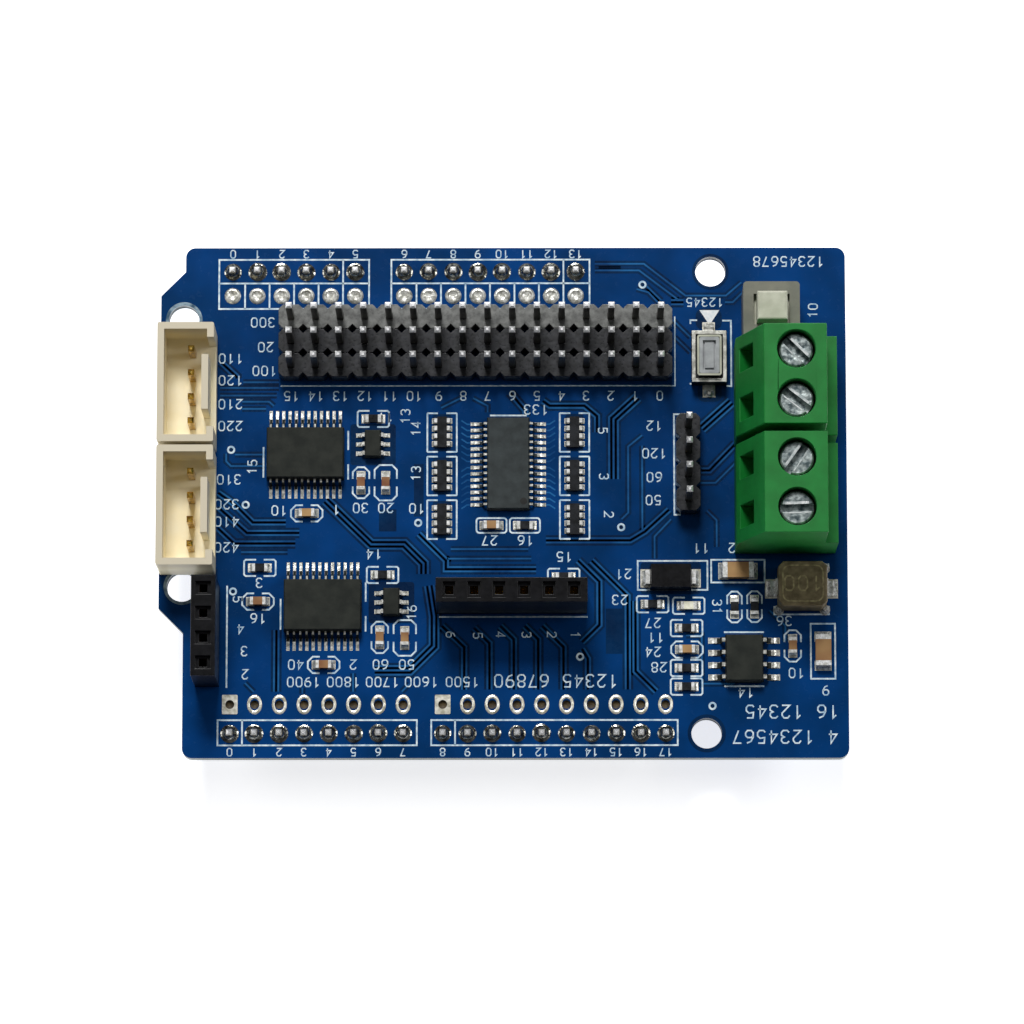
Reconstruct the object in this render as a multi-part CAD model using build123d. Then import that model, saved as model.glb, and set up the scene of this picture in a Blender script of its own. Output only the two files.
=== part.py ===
from build123d import *
import os

# A driver board for sixteen servos and four motors, built on a controller shield outline.
# Millimetres. X runs along the board, Y across it, Z up. The origin is at the centre of the
# board, level with the tips of the downward header pins that the board stands on.

# ---- Board
BOARD_LENGTH = 70.92
BOARD_WIDTH = 53.34
BOARD_THICKNESS = 1.6
BOARD_CORNER_RADIUS = 1.0
TAB_STEP = 2.54             # how far the left-hand tab stands out of the left edge
TAB_FROM_TOP = 5.08         # where the tab reaches its full width, from the top edge
TAB_LENGTH = 32.77
MOUNT_HOLE_DIAMETER = 3.2

# ---- Pin headers, 2.54 mm pitch
PITCH = 2.54
PIN_SIDE = 0.64
PIN_TAPER = 0.2
PIN_LONG_END = 6.0          # bare pin on the plug side of the strip
PIN_SHORT_END = 3.0         # bare pin on the solder side
STRIP_HEIGHT = 2.54
STRIP_WIDTH = 2.5
STRIP_NOTCH = 0.45          # corner cut of each lobe
PIN_HOLE_GAP = 0.01         # between a pin and its plastic
BOARD_HOLE_GAP = 0.05       # between a pin's corner and the hole in the board

# ---- Heights
BOARD_UNDER = PIN_LONG_END + STRIP_HEIGHT
BOARD_TOP = BOARD_UNDER + BOARD_THICKNESS

# ---- Board edges
RIGHT = BOARD_LENGTH / 2
LEFT = -BOARD_LENGTH / 2
TOP = BOARD_WIDTH / 2
BOTTOM = -BOARD_WIDTH / 2

# ---- Mounting holes, from the nearest edges
LEFT_HOLES_IN = 2.4
LEFT_HOLE_HIGH = 7.62       # upper left hole, from the top edge
LEFT_HOLE_SPACING = 27.94
TOP_HOLE_FROM_RIGHT = 13.97
BOTTOM_HOLE_FROM_RIGHT = 14.6
RIGHT_HOLES_IN = 2.54

# ---- Shield headers under the board: pins in each strip, first pin from the right edge
ROW_IN = 2.54               # header row to the board's edge
UPPER_STRIPS = ((8, 27.94), (6, 50.8))
LOWER_STRIPS = ((10, 18.8), (8, 45.72))
UPPER_SPARE_ROW_IN = 2.54   # spare pads, further in than the header row
LOWER_SPARE_ROW_IN = 3.0
SPARE_HOLE_DIAMETER = 0.9

# ---- Servo header, three strips of sixteen
SERVO_CHANNELS = 16
SERVO_ROWS = ("signal", "supply", "ground")     # from the lower row up
SERVO_FIRST_FROM_RIGHT = 19.26
SERVO_FRONT_ROW_UP = 40.54  # row nearest the lower edge, from that edge

# ---- Supply header, one strip of four standing along Y
SUPPLY_PINS = 4
SUPPLY_FROM_RIGHT = 16.4
SUPPLY_FIRST_UP = 26.56     # lowest pin, from the lower edge

# ---- Motor connectors, 2.5 mm pitch, four ways each
MOTOR_CONNECTORS = 2
MOTOR_WAYS = 4
MOTOR_PITCH = 2.5
MOTOR_LENGTH = 12.4
MOTOR_DEPTH = 5.8
MOTOR_HEIGHT = 7.0
MOTOR_WALL = 0.7
MOTOR_FLOOR = 1.6
MOTOR_SPACING = 12.76
MOTOR_LOWER_UP = 25.2      # centre of the lower connector, from the lower edge
MOTOR_EDGE_GAP = 0.06       # outer wall to the board's left edge
MOTOR_PIN_IN = 3.4          # pin row, from the outer wall
MOTOR_PIN_HEIGHT = 5.6
MOTOR_PIN_TAIL = 1.8        # below the board
MOTOR_SLOT_WIDTH = 1.8
MOTOR_SLOT_OUT = 3.75       # slot centre, from the connector's middle
MOTOR_TONGUE_SET_IN = 0.55
MOTOR_CORNER_RADIUS = 0.2

# ---- Sockets, 2.54 mm pitch
SOCKET_HEIGHT = 8.5
SOCKET_WIDTH = 2.5
SOCKET_END = 0.1            # plastic past the last pitch
SOCKET_MOUTH_LENGTH = 1.3
SOCKET_MOUTH_WIDTH = 1.6
SOCKET_MOUTH_DEPTH = 0.5
SOCKET_THROAT = 0.8
SOCKET_CELL = 1.7
SOCKET_CELL_FLOOR = 1.2
SOCKET_TAIL = 1.6           # below the board
LEAF_THICKNESS = 0.2
LEAF_WIDTH = 0.8
LEAF_GAP = 0.42
SERIAL_WAYS = 4
SERIAL_FROM_LEFT = 5.06
SERIAL_FIRST_UP = 8.76      # lowest way, from the lower edge
RECEIVER_WAYS = 6
RECEIVER_FIRST_FROM_RIGHT = 28.21
RECEIVER_UP = 16.18

# ---- Screw terminals, two blocks of two poles
POLE_PITCH = 5.08
BLOCKS = 2
BLOCK_PITCH = 11.1
BLOCK_LENGTH = 10.34
BLOCK_HEIGHT = 14.0
LOWER_BLOCK_UP = 26.35      # centre of the lower block, from the lower edge
SCREW_FROM_RIGHT = 5.71
FRONT_REACH = 5.9           # screw axis to the front face
TOP_FRONT_REACH = 3.3       # screw axis to the front edge of the top
BACK_REACH = 4.45           # screw axis to the back of the ledge
TOP_BACK_REACH = 3.1        # screw axis to the back edge of the top
FRONT_KNEE_HEIGHT = 6.0
LEDGE_HEIGHT = 7.0
RIB_WIDTH = 2.0
RIB_HEIGHT = 8.5
RIB_SEAT_GAP = 0.02
CHAMBER_ROOF = BLOCK_HEIGHT - 2.5
CAGE_LENGTH = 3.9           # along X
CAGE_WIDTH = 4.1
CAGE_SIDE_WALL = 0.5
CAGE_TOP_WALL = 1.1
CAGE_BOTTOM_WALL = 0.8
CAGE_CLEARANCE = 0.12       # cage to chamber wall
WIRE_SPACE = 2.5            # open height under the contact plate
PLATE_THICKNESS = 0.6
PLATE_WIDTH = 2.4
PLATE_UNDER = BLOCK_HEIGHT - 6.6    # underside of the contact plate
PLATE_TOP_GAP = 0.3         # to the cage's top wall, cage right down
POST_THICKNESS = 0.5
POST_WIDTH = 1.0
POST_GAP = 0.15             # post to cage
POST_TAIL = 1.9
TUNNEL_WIDTH = 2.4
TUNNEL_SILL = BLOCK_HEIGHT - 6.95   # wire tunnel where it meets the sloping face
TUNNEL_LINTEL = BLOCK_HEIGHT - 3.1
SCREW_DIAMETER = 2.9
SCREW_TIP_GAP = 0.1
SCREW_THREAD_GAP = 0.05     # screw to cage, on the radius
SCREW_HEAD_DIAMETER = 3.4
SCREW_HEAD_HEIGHT = 1.4
SCREW_BELOW_TOP = 1.0
SCREW_WELL_DIAMETER = 3.9
SCREW_SLOT_WIDTH = 0.8
SCREW_SLOT_DEPTH = 0.8
SCREW_SLOT_ANGLES = (-45, -38, 55, 2)

# ---- Power switch, push button
POWER_SIDE = 5.8
POWER_HEIGHT = 5.8
POWER_FROM_RIGHT = 7.86
POWER_FROM_TOP = 7.65
POWER_FLOOR = 0.8
POWER_ROOF = 0.8
POWER_WALL = 0.8
POWER_BUTTON_LENGTH = POWER_SIDE - 2.7
POWER_BUTTON_WIDTH = POWER_SIDE - 2.8
POWER_BUTTON_UP = 2.2       # above the body
POWER_SIDE_SLIT = 0.3
POWER_GUIDE_GAP = 0.1
POWER_FLANGE = 0.35         # how far the flange stands out of the button
POWER_FLANGE_HEIGHT = 0.6
POWER_LEG_SPACING = 4.5
POWER_LEG_PITCH = 2.0
POWER_LEG_WIDTH = 0.5
POWER_LEG_THICKNESS = 0.3
POWER_LEG_LENGTH = 3.2
SPRING_RADIUS = 1.0
SPRING_WIRE = 0.22
SPRING_TURNS = 4

# ---- Reset switch
RESET_LENGTH = 5.4          # along Y
RESET_WIDTH = 3.6
RESET_HEIGHT = 1.8
RESET_FROM_RIGHT = 14.18
RESET_FROM_TOP = 11.85
RESET_ROOF = 0.5
RESET_FLOOR = 0.5
RESET_FRAME_WALL = 0.4
RESET_FRAME_HEIGHT = 0.25
RESET_BUTTON_LENGTH = RESET_LENGTH - 1.6
RESET_BUTTON_WIDTH = RESET_WIDTH - 1.55
RESET_BUTTON_UP = 0.65      # above the frame
RESET_BUTTON_RIM = 0.35
RESET_GROOVE_WIDTH = 0.22   # between the rim and the raised middle of the button
RESET_GROOVE_DEPTH = 0.4
RESET_MIDDLE_DROP = 0.08
RESET_GUIDE_GAP = 0.12
RESET_FLANGE = 0.25
RESET_FLANGE_HEIGHT = 0.25
RESET_ROOF_GAP = 0.1
RESET_TAB_LENGTH = 0.7
RESET_TAB_WIDTH = 0.9
RESET_TAB_HEIGHT = 0.4
DOME_RADIUS = 0.95
DOME_RISE = 0.35
DOME_THICKNESS = 0.08

# ---- Gull-wing chips: centre from the right edge, centre from the lower edge,
# body along the leads' row, body across it, height, leads a side, lead pitch, span across leads
MOTOR_DRIVER_SIZE = (8.0, 5.4, 1.75, 12, 0.65, 7.8)
MOTOR_DRIVER_PLACES = ((55.86, 31.55), (54.0, 15.7))
PWM_CHIP_SIZE = (9.7, 4.4, 1.1, 14, 0.65, 6.4)
PWM_CHIP_PLACE = (34.93, 30.5)
REGULATOR_SIZE = (4.9, 3.9, 1.55, 4, 1.27, 6.0)
REGULATOR_PLACE = (10.72, 10.2)
SMALL_CHIP_SIZE = (2.9, 1.7, 1.1, 3, 0.95, 2.9)
SMALL_CHIP_PLACES = ((48.9, 32.6), (46.95, 16.1))
LEAD_THICKNESS = 0.15
LEAD_WIDTH_SHARE = 0.42     # lead width over lead pitch
CHIP_STANDOFF = 0.1
MOULD_DRAFT = 0.12          # inset of the top of a moulded body

# ---- Two-ended chip parts: length, width, height, end length
SMALL_CHIP_PART = (1.6, 0.8, 0.45, 0.32)
SMALL_CAPACITOR = (1.6, 0.8, 0.8, 0.32)
LARGE_CAPACITOR = (3.2, 1.6, 1.2, 0.5)
# Places: from the right edge, from the lower edge, quarter turns
RESISTOR_PLACES = (
    (48.88, 35.3, 0), (33.22, 24.13, 0), (60.51, 19.73, 0), (47.87, 18.98, 0),
    (29.23, 18.77, 0), (20.09, 15.91, 0), (16.61, 13.43, 0), (16.63, 9.29, 0),
    (16.64, 7.36, 0), (11.67, 15.62, 1), (9.61, 15.65, 1),
)
CAPACITOR_PLACES = (
    (50.13, 28.61, 1), (47.58, 28.61, 1), (55.71, 25.41, 0), (36.66, 24.13, 0),
    (60.68, 16.22, 0), (53.89, 9.64, 0), (48.14, 12.49, 1), (45.57, 12.43, 1),
    (16.58, 11.2, 0), (5.72, 11.57, 1),
)
LARGE_CAPACITOR_PLACES = ((11.3, 19.35, 0), (2.61, 11.02, 1))
LED_PLACE = (16.38, 15.75, 0)

# ---- Resistor arrays, four elements each
ARRAY_LENGTH = 3.2
ARRAY_WIDTH = 1.6
ARRAY_HEIGHT = 0.5
ARRAY_ENDS = 4
ARRAY_PITCH = 0.8
ARRAY_END_LENGTH = 0.3
ARRAY_END_WIDTH = 0.45
ARRAY_COLUMNS_FROM_RIGHT = (41.77, 28.09)
ARRAY_ROWS_UP = (33.86, 29.31, 24.75)

# ---- Inductor and diode
INDUCTOR_LENGTH = 5.0
INDUCTOR_WIDTH = 4.6
INDUCTOR_HEIGHT = 3.9
INDUCTOR_PLACE = (4.78, 17.5)
INDUCTOR_CLIP_OUT = 0.75
INDUCTOR_CLIP_THICKNESS = 0.2
INDUCTOR_CLIP_WIDTH = 1.6
INDUCTOR_CORNER = 0.5
DIODE_LENGTH = 4.3
DIODE_WIDTH = 2.6
DIODE_HEIGHT = 2.2
DIODE_PLACE = (18.23, 18.6)
DIODE_TAB_OUT = 0.45
DIODE_TAB_WIDTH = 1.4
DIODE_TAB_THICKNESS = 0.2


def block(x0, x1, y0, y1, z0, z1):
    """A box between two corners."""
    middle = Pos((x0 + x1) / 2, (y0 + y1) / 2, (z0 + z1) / 2)
    return middle * Box(x1 - x0, y1 - y0, z1 - z0)


def slab(length, width, low, high):
    """A box centred on the Z axis between two heights."""
    return Pos(0, 0, (low + high) / 2) * Box(length, width, high - low)


def on_board(from_right, from_bottom, turn=0):
    """A place on the board's upper face, given from its right and lower edges."""
    return Pos(RIGHT - from_right, BOTTOM + from_bottom, BOARD_TOP) * Rot(0, 0, turn)


def save(name, *solids):
    shape = solids[0] if len(solids) == 1 else Compound(children=list(solids))
    export_step(shape, "parts/" + name + ".step")


# ---- Pin headers

def header_pin(low, high):
    """A square pin between two heights, tapered at both ends."""
    pin = slab(PIN_SIDE, PIN_SIDE, low, high)
    ends = pin.faces().sort_by(Axis.Z)
    return chamfer(ends[0].edges() + ends[-1].edges(), PIN_TAPER)


def pin_strip(count):
    """A strip's plastic, first pin on the Z axis and the rest along +X, from z = 0 up."""
    half = STRIP_WIDTH / 2
    upper = []
    for i in range(count):
        start = (i - 0.5) * PITCH
        upper.append((start, half - STRIP_NOTCH))
        upper.append((start + STRIP_NOTCH, half))
        upper.append((start + PITCH - STRIP_NOTCH, half))
    end = (count - 0.5) * PITCH
    upper.append((end, half - STRIP_NOTCH))
    lower = [(x, -y) for x, y in reversed(upper)]
    outline = make_face(Polyline(*upper, *lower, close=True))
    hole = PIN_SIDE + 2 * PIN_HOLE_GAP
    holes = [Pos(i * PITCH, 0) * Rectangle(hole, hole) for i in range(count)]
    return extrude(outline - holes, STRIP_HEIGHT)


def pin_row(count, low, high):
    pin = header_pin(low, high)
    return [Pos(i * PITCH, 0, 0) * pin for i in range(count)]


def row_spots(count, x, y):
    """Pin places of a row that runs towards -X."""
    return [(x - i * PITCH, y) for i in range(count)]


def upper_spots(inset=0.0):
    spots = []
    for count, from_right in UPPER_STRIPS:
        spots += row_spots(count, RIGHT - from_right, TOP - ROW_IN - inset)
    return spots


def lower_spots(inset=0.0):
    spots = []
    for count, from_right in LOWER_STRIPS:
        spots += row_spots(count, RIGHT - from_right, BOTTOM + ROW_IN + inset)
    return spots


def shield_strips(strips, y):
    """Strips of a shield header row, hung under the board with their long pins down."""
    plastic, pins = [], []
    for count, from_right in strips:
        place = Pos(RIGHT - from_right, y, 0) * Rot(0, 0, 180)
        plastic.append(place * Pos(0, 0, PIN_LONG_END) * pin_strip(count))
        pins += [place * pin for pin in pin_row(count, 0, BOARD_UNDER + PIN_SHORT_END)]
    return plastic, pins


def servo_place(row):
    x = SERVO_FIRST_FROM_RIGHT + (SERVO_CHANNELS - 1) * PITCH
    return on_board(x, SERVO_FRONT_ROW_UP + row * PITCH)


def supply_place():
    return on_board(SUPPLY_FROM_RIGHT, SUPPLY_FIRST_UP, 90)


def strip_on_board(place, count):
    """A strip standing on the board, with its long pins up."""
    pins = pin_row(count, -PIN_SHORT_END, STRIP_HEIGHT + PIN_LONG_END)
    return place * pin_strip(count), [place * pin for pin in pins]


# ---- Motor connectors

def motor_place(index):
    """A connector's middle on the board's upper face, lower connector first."""
    x = LEFT + MOTOR_EDGE_GAP + MOTOR_DEPTH / 2
    return Pos(x, BOTTOM + MOTOR_LOWER_UP + index * MOTOR_SPACING, BOARD_TOP)


def motor_pin_ways():
    x = MOTOR_PIN_IN - MOTOR_DEPTH / 2
    first = -(MOTOR_WAYS - 1) * MOTOR_PITCH / 2
    return [(x, first + i * MOTOR_PITCH) for i in range(MOTOR_WAYS)]


def motor_housing():
    """An open box with two key slots in its inner wall and a set-back tongue between them."""
    inner_depth = MOTOR_DEPTH - 2 * MOTOR_WALL
    inner_length = MOTOR_LENGTH - 2 * MOTOR_WALL
    shell = slab(MOTOR_DEPTH, MOTOR_LENGTH, 0, MOTOR_HEIGHT)
    shell = fillet(shell.edges().filter_by(Axis.Z), MOTOR_CORNER_RADIUS)
    shell -= slab(inner_depth, inner_length, MOTOR_FLOOR, MOTOR_HEIGHT + 1)
    wall_x = MOTOR_DEPTH / 2
    gap = MOTOR_SLOT_OUT + MOTOR_SLOT_WIDTH / 2
    tongue = MOTOR_SLOT_OUT - MOTOR_SLOT_WIDTH / 2
    tongue_x = wall_x - MOTOR_TONGUE_SET_IN
    shell -= block(wall_x - MOTOR_WALL - 1, wall_x + 1, -gap, gap, MOTOR_FLOOR, MOTOR_HEIGHT + 1)
    shell += block(tongue_x - MOTOR_WALL, tongue_x, -tongue, tongue, MOTOR_FLOOR, MOTOR_HEIGHT)
    hole = PIN_SIDE + 2 * PIN_HOLE_GAP
    for x, y in motor_pin_ways():
        shell -= Pos(x, y, 0) * slab(hole, hole, -1, MOTOR_FLOOR + 1)
    return shell


# ---- Sockets

def socket_housing(ways):
    """A socket strip with its first way on the Z axis and the rest along +X."""
    length = ways * PITCH + 2 * SOCKET_END
    middle = (ways - 1) * PITCH / 2
    body = Pos(middle, 0, 0) * slab(length, SOCKET_WIDTH, 0, SOCKET_HEIGHT)
    roof = SOCKET_HEIGHT - SOCKET_MOUTH_DEPTH
    cell_top = roof - SOCKET_MOUTH_DEPTH
    leg_hole = LEAF_WIDTH + 2 * PIN_HOLE_GAP
    for i in range(ways):
        way = Pos(i * PITCH, 0, 0)
        body -= way * slab(SOCKET_MOUTH_LENGTH, SOCKET_MOUTH_WIDTH, roof, SOCKET_HEIGHT + 1)
        body -= way * slab(SOCKET_THROAT, SOCKET_THROAT, cell_top - 1, roof + 1)
        body -= way * slab(SOCKET_CELL, SOCKET_CELL, SOCKET_CELL_FLOOR, cell_top)
        body -= way * slab(leg_hole, LEAF_THICKNESS + 2 * PIN_HOLE_GAP, -1, SOCKET_CELL_FLOOR + 1)
    return body


def socket_contact():
    """A two-leaf spring contact with its tail through the board."""
    low = SOCKET_CELL_FLOOR + 0.02
    high = SOCKET_HEIGHT - 2 * SOCKET_MOUTH_DEPTH - 0.4
    reach = LEAF_GAP + LEAF_THICKNESS
    contact = slab(LEAF_WIDTH, 2 * reach, low, low + LEAF_THICKNESS)
    for side in (-1, 1):
        y0, y1 = sorted((side * LEAF_GAP, side * reach))
        contact += block(-LEAF_WIDTH / 2, LEAF_WIDTH / 2, y0, y1, low, high)
    tail = BOARD_THICKNESS + SOCKET_TAIL
    shoulder = slab(LEAF_WIDTH, LEAF_THICKNESS, 0.05, low + LEAF_THICKNESS)
    leg = slab(PIN_SIDE, LEAF_THICKNESS, -tail, low + LEAF_THICKNESS)
    return contact + shoulder + leg


def serial_place():
    return Pos(LEFT + SERIAL_FROM_LEFT, BOTTOM + SERIAL_FIRST_UP, BOARD_TOP) * Rot(0, 0, 90)


def receiver_place():
    x = RECEIVER_FIRST_FROM_RIGHT + (RECEIVER_WAYS - 1) * PITCH
    return on_board(x, RECEIVER_UP)


def socket_ways(place, ways):
    return [place * Pos(i * PITCH, 0, 0) for i in range(ways)]


# ---- Screw terminals, modelled with the screw axis of the block's middle on the Z axis

def block_place(index):
    """A block's middle on the board's upper face, lower block first."""
    return on_board(SCREW_FROM_RIGHT, LOWER_BLOCK_UP + index * BLOCK_PITCH)


def pole_places():
    """Screw axes, from the top of the board's right edge downwards."""
    places = []
    for index in reversed(range(BLOCKS)):
        for side in (1, -1):
            places.append(block_place(index) * Pos(0, side * POLE_PITCH / 2, 0))
    return places


def post_x():
    return CAGE_LENGTH / 2 + POST_GAP + POST_THICKNESS / 2


def terminal_housing(with_rib):
    """A moulded block: sloping front, stepped back, open underneath for cages and contacts."""
    profile = [
        (-FRONT_REACH, 0), (-FRONT_REACH, FRONT_KNEE_HEIGHT), (-TOP_FRONT_REACH, BLOCK_HEIGHT),
        (TOP_BACK_REACH, BLOCK_HEIGHT), (TOP_BACK_REACH, LEDGE_HEIGHT),
        (BACK_REACH, LEDGE_HEIGHT), (BACK_REACH, 0),
    ]
    side = make_face(Plane.XZ * Polyline(*profile, close=True))
    body = extrude(side, BLOCK_LENGTH / 2, both=True)
    front = -CAGE_LENGTH / 2 - CAGE_CLEARANCE
    back = post_x() + POST_THICKNESS / 2 + CAGE_CLEARANCE
    half_width = CAGE_WIDTH / 2 + CAGE_CLEARANCE
    slope = (FRONT_REACH - TOP_FRONT_REACH) / (BLOCK_HEIGHT - FRONT_KNEE_HEIGHT)
    sill_x = -FRONT_REACH + slope * (TUNNEL_SILL - FRONT_KNEE_HEIGHT)
    lintel_x = -FRONT_REACH + slope * (TUNNEL_LINTEL - FRONT_KNEE_HEIGHT)
    low = PLATE_UNDER - WIRE_SPACE
    low_grade = (TUNNEL_SILL - low) / (sill_x - front)
    high_grade = (TUNNEL_LINTEL - PLATE_UNDER) / (lintel_x - front)
    outside = -FRONT_REACH - 1
    tunnel = [
        (front + 0.2, low), (front, low),
        (outside, low + low_grade * (outside - front)),
        (outside, PLATE_UNDER + high_grade * (outside - front)),
        (front, PLATE_UNDER), (front + 0.2, PLATE_UNDER),
    ]
    tunnel_side = make_face(Plane.XZ * Polyline(*tunnel, close=True))
    entry = extrude(tunnel_side, TUNNEL_WIDTH / 2, both=True)
    for side in (-1, 1):
        pole = Pos(0, side * POLE_PITCH / 2, 0)
        body -= pole * block(front, back, -half_width, half_width, -1, CHAMBER_ROOF)
        well = Cylinder(SCREW_WELL_DIAMETER / 2, BLOCK_HEIGHT - CHAMBER_ROOF + 1)
        body -= pole * Pos(0, 0, (BLOCK_HEIGHT + CHAMBER_ROOF) / 2) * well
        body -= pole * entry
    if with_rib:
        reach = BLOCK_PITCH - BLOCK_LENGTH - RIB_SEAT_GAP
        edge = BLOCK_LENGTH / 2
        for x in (-FRONT_REACH / 2, BACK_REACH / 2):
            body += block(x - RIB_WIDTH / 2, x + RIB_WIDTH / 2, edge - 0.1, edge + reach, 0, RIB_HEIGHT)
    return body


def wire_cage():
    """A clamp frame, open along X, right down with its wire space open."""
    inner_low = PLATE_UNDER - WIRE_SPACE
    inner_high = PLATE_UNDER + PLATE_THICKNESS + PLATE_TOP_GAP
    outer = slab(CAGE_LENGTH, CAGE_WIDTH, inner_low - CAGE_BOTTOM_WALL, inner_high + CAGE_TOP_WALL)
    outer = fillet(outer.edges().filter_by(Axis.X), 0.3)
    outer -= slab(CAGE_LENGTH + 1, CAGE_WIDTH - 2 * CAGE_SIDE_WALL, inner_low, inner_high)
    thread = Cylinder(SCREW_DIAMETER / 2 + SCREW_THREAD_GAP, CAGE_TOP_WALL + 1)
    return outer - Pos(0, 0, inner_high + CAGE_TOP_WALL / 2) * thread


def terminal_screw(slot_angle):
    """A slotted screw with its tip just above the contact plate."""
    head_top = BLOCK_HEIGHT - SCREW_BELOW_TOP
    head_low = head_top - SCREW_HEAD_HEIGHT
    tip = PLATE_UNDER + PLATE_THICKNESS + SCREW_TIP_GAP
    head = Pos(0, 0, (head_top + head_low) / 2) * Cylinder(SCREW_HEAD_DIAMETER / 2, SCREW_HEAD_HEIGHT)
    head = chamfer(head.edges().sort_by(Axis.Z)[-1], 0.15)
    shank = Pos(0, 0, (head_low + tip) / 2) * Cylinder(SCREW_DIAMETER / 2, head_low - tip)
    shank = chamfer(shank.edges().sort_by(Axis.Z)[0], 0.3)
    cut = slab(SCREW_HEAD_DIAMETER + 1, SCREW_SLOT_WIDTH, head_top - SCREW_SLOT_DEPTH, head_top + 1)
    return head + shank - Rot(0, 0, slot_angle) * cut


def terminal_contact():
    """A plate through the cage, turned down behind it into a solder post."""
    x = post_x()
    top = PLATE_UNDER + PLATE_THICKNESS
    plate = block(
        -CAGE_LENGTH / 2, x + POST_THICKNESS / 2, -PLATE_WIDTH / 2, PLATE_WIDTH / 2,
        PLATE_UNDER, top,
    )
    tail = BOARD_THICKNESS + POST_TAIL
    post = block(
        x - POST_THICKNESS / 2, x + POST_THICKNESS / 2, -POST_WIDTH / 2, POST_WIDTH / 2, -tail, top,
    )
    return plate + post


# ---- Power switch, modelled with its middle on the Z axis

def power_place():
    return Pos(RIGHT - POWER_FROM_RIGHT, TOP - POWER_FROM_TOP, BOARD_TOP)


def power_flange_top():
    return POWER_HEIGHT - POWER_ROOF - 0.1


def power_body():
    body = slab(POWER_SIDE, POWER_SIDE, 0, POWER_HEIGHT)
    body = fillet(body.edges().filter_by(Axis.Z), 0.4)
    inner = POWER_SIDE - 2 * POWER_WALL
    body -= slab(inner, inner, POWER_FLOOR, POWER_HEIGHT - POWER_ROOF)
    mouth_length = POWER_BUTTON_LENGTH + 2 * POWER_SIDE_SLIT
    mouth_width = POWER_BUTTON_WIDTH + 2 * POWER_GUIDE_GAP
    return body - slab(mouth_length, mouth_width, POWER_FLOOR + 1, POWER_HEIGHT + 1)


def power_button():
    flange_top = power_flange_top()
    stem_top = POWER_HEIGHT + POWER_BUTTON_UP
    stem = slab(POWER_BUTTON_LENGTH, POWER_BUTTON_WIDTH, flange_top, stem_top)
    stem = fillet(stem.faces().sort_by(Axis.Z)[-1].edges(), 0.25)
    flange = slab(
        POWER_BUTTON_LENGTH + 2 * POWER_FLANGE, POWER_BUTTON_WIDTH + 2 * POWER_FLANGE,
        flange_top - POWER_FLANGE_HEIGHT, flange_top,
    )
    return stem + flange


def power_spring():
    """A coil spring between the switch's floor and the button's flange."""
    low = POWER_FLOOR + SPRING_WIRE / 2 + 0.01
    high = power_flange_top() - POWER_FLANGE_HEIGHT - SPRING_WIRE / 2 - 0.01
    path = Pos(0, 0, low) * Helix((high - low) / SPRING_TURNS, high - low, SPRING_RADIUS)
    start = Plane(origin=path @ 0, z_dir=path % 0)
    return sweep(start * Circle(SPRING_WIRE / 2), path=path, is_frenet=True)


def power_leg_spots():
    spots = []
    for x in (-POWER_LEG_SPACING / 2, POWER_LEG_SPACING / 2):
        for y in (-POWER_LEG_PITCH, 0, POWER_LEG_PITCH):
            spots.append((x, y))
    return spots


def power_legs():
    leg = slab(POWER_LEG_THICKNESS, POWER_LEG_WIDTH, -POWER_LEG_LENGTH, 0)
    return [Pos(x, y, 0) * leg for x, y in power_leg_spots()]


# ---- Reset switch, modelled with its middle on the Z axis

def reset_place():
    return Pos(RIGHT - RESET_FROM_RIGHT, TOP - RESET_FROM_TOP, BOARD_TOP)


def reset_base():
    base = slab(RESET_WIDTH, RESET_LENGTH, 0, RESET_HEIGHT)
    wall = 2 * (RESET_FLANGE + 2 * RESET_GUIDE_GAP)
    base -= slab(
        RESET_BUTTON_WIDTH + wall, RESET_BUTTON_LENGTH + wall, RESET_FLOOR, RESET_HEIGHT - RESET_ROOF,
    )
    mouth = 2 * RESET_GUIDE_GAP
    return base - slab(
        RESET_BUTTON_WIDTH + mouth, RESET_BUTTON_LENGTH + mouth, RESET_FLOOR + 0.2, RESET_HEIGHT + 1,
    )


def reset_frame():
    ring = slab(RESET_WIDTH, RESET_LENGTH, RESET_HEIGHT, RESET_HEIGHT + RESET_FRAME_HEIGHT)
    wall = 2 * RESET_FRAME_WALL
    return ring - slab(RESET_WIDTH - wall, RESET_LENGTH - wall, RESET_HEIGHT - 1, RESET_HEIGHT + 1)


def reset_button():
    flange_top = RESET_HEIGHT - RESET_ROOF - RESET_ROOF_GAP
    top = RESET_HEIGHT + RESET_FRAME_HEIGHT + RESET_BUTTON_UP
    stem = slab(RESET_BUTTON_WIDTH, RESET_BUTTON_LENGTH, flange_top, top)
    stem = fillet(stem.edges().filter_by(Axis.Z), 0.2)
    rim = 2 * RESET_BUTTON_RIM
    middle = rim + 2 * RESET_GROOVE_WIDTH
    stem -= slab(RESET_BUTTON_WIDTH - rim, RESET_BUTTON_LENGTH - rim, top - RESET_GROOVE_DEPTH, top + 1)
    stem += slab(
        RESET_BUTTON_WIDTH - middle, RESET_BUTTON_LENGTH - middle,
        top - RESET_GROOVE_DEPTH - 0.1, top - RESET_MIDDLE_DROP,
    )
    flange = slab(
        RESET_BUTTON_WIDTH + 2 * RESET_FLANGE, RESET_BUTTON_LENGTH + 2 * RESET_FLANGE,
        flange_top - RESET_FLANGE_HEIGHT, flange_top,
    )
    return stem + flange


def reset_dome():
    """A snap dome: a shallow spherical cap resting on the switch's floor."""
    ball = (DOME_RADIUS ** 2 + DOME_RISE ** 2) / (2 * DOME_RISE)
    centre = Pos(0, 0, RESET_FLOOR + DOME_RISE - ball)
    cap = centre * Sphere(ball) - centre * Sphere(ball - DOME_THICKNESS)
    return cap & slab(3 * DOME_RADIUS, 3 * DOME_RADIUS, RESET_FLOOR, RESET_FLOOR + 2 * DOME_RISE)


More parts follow.
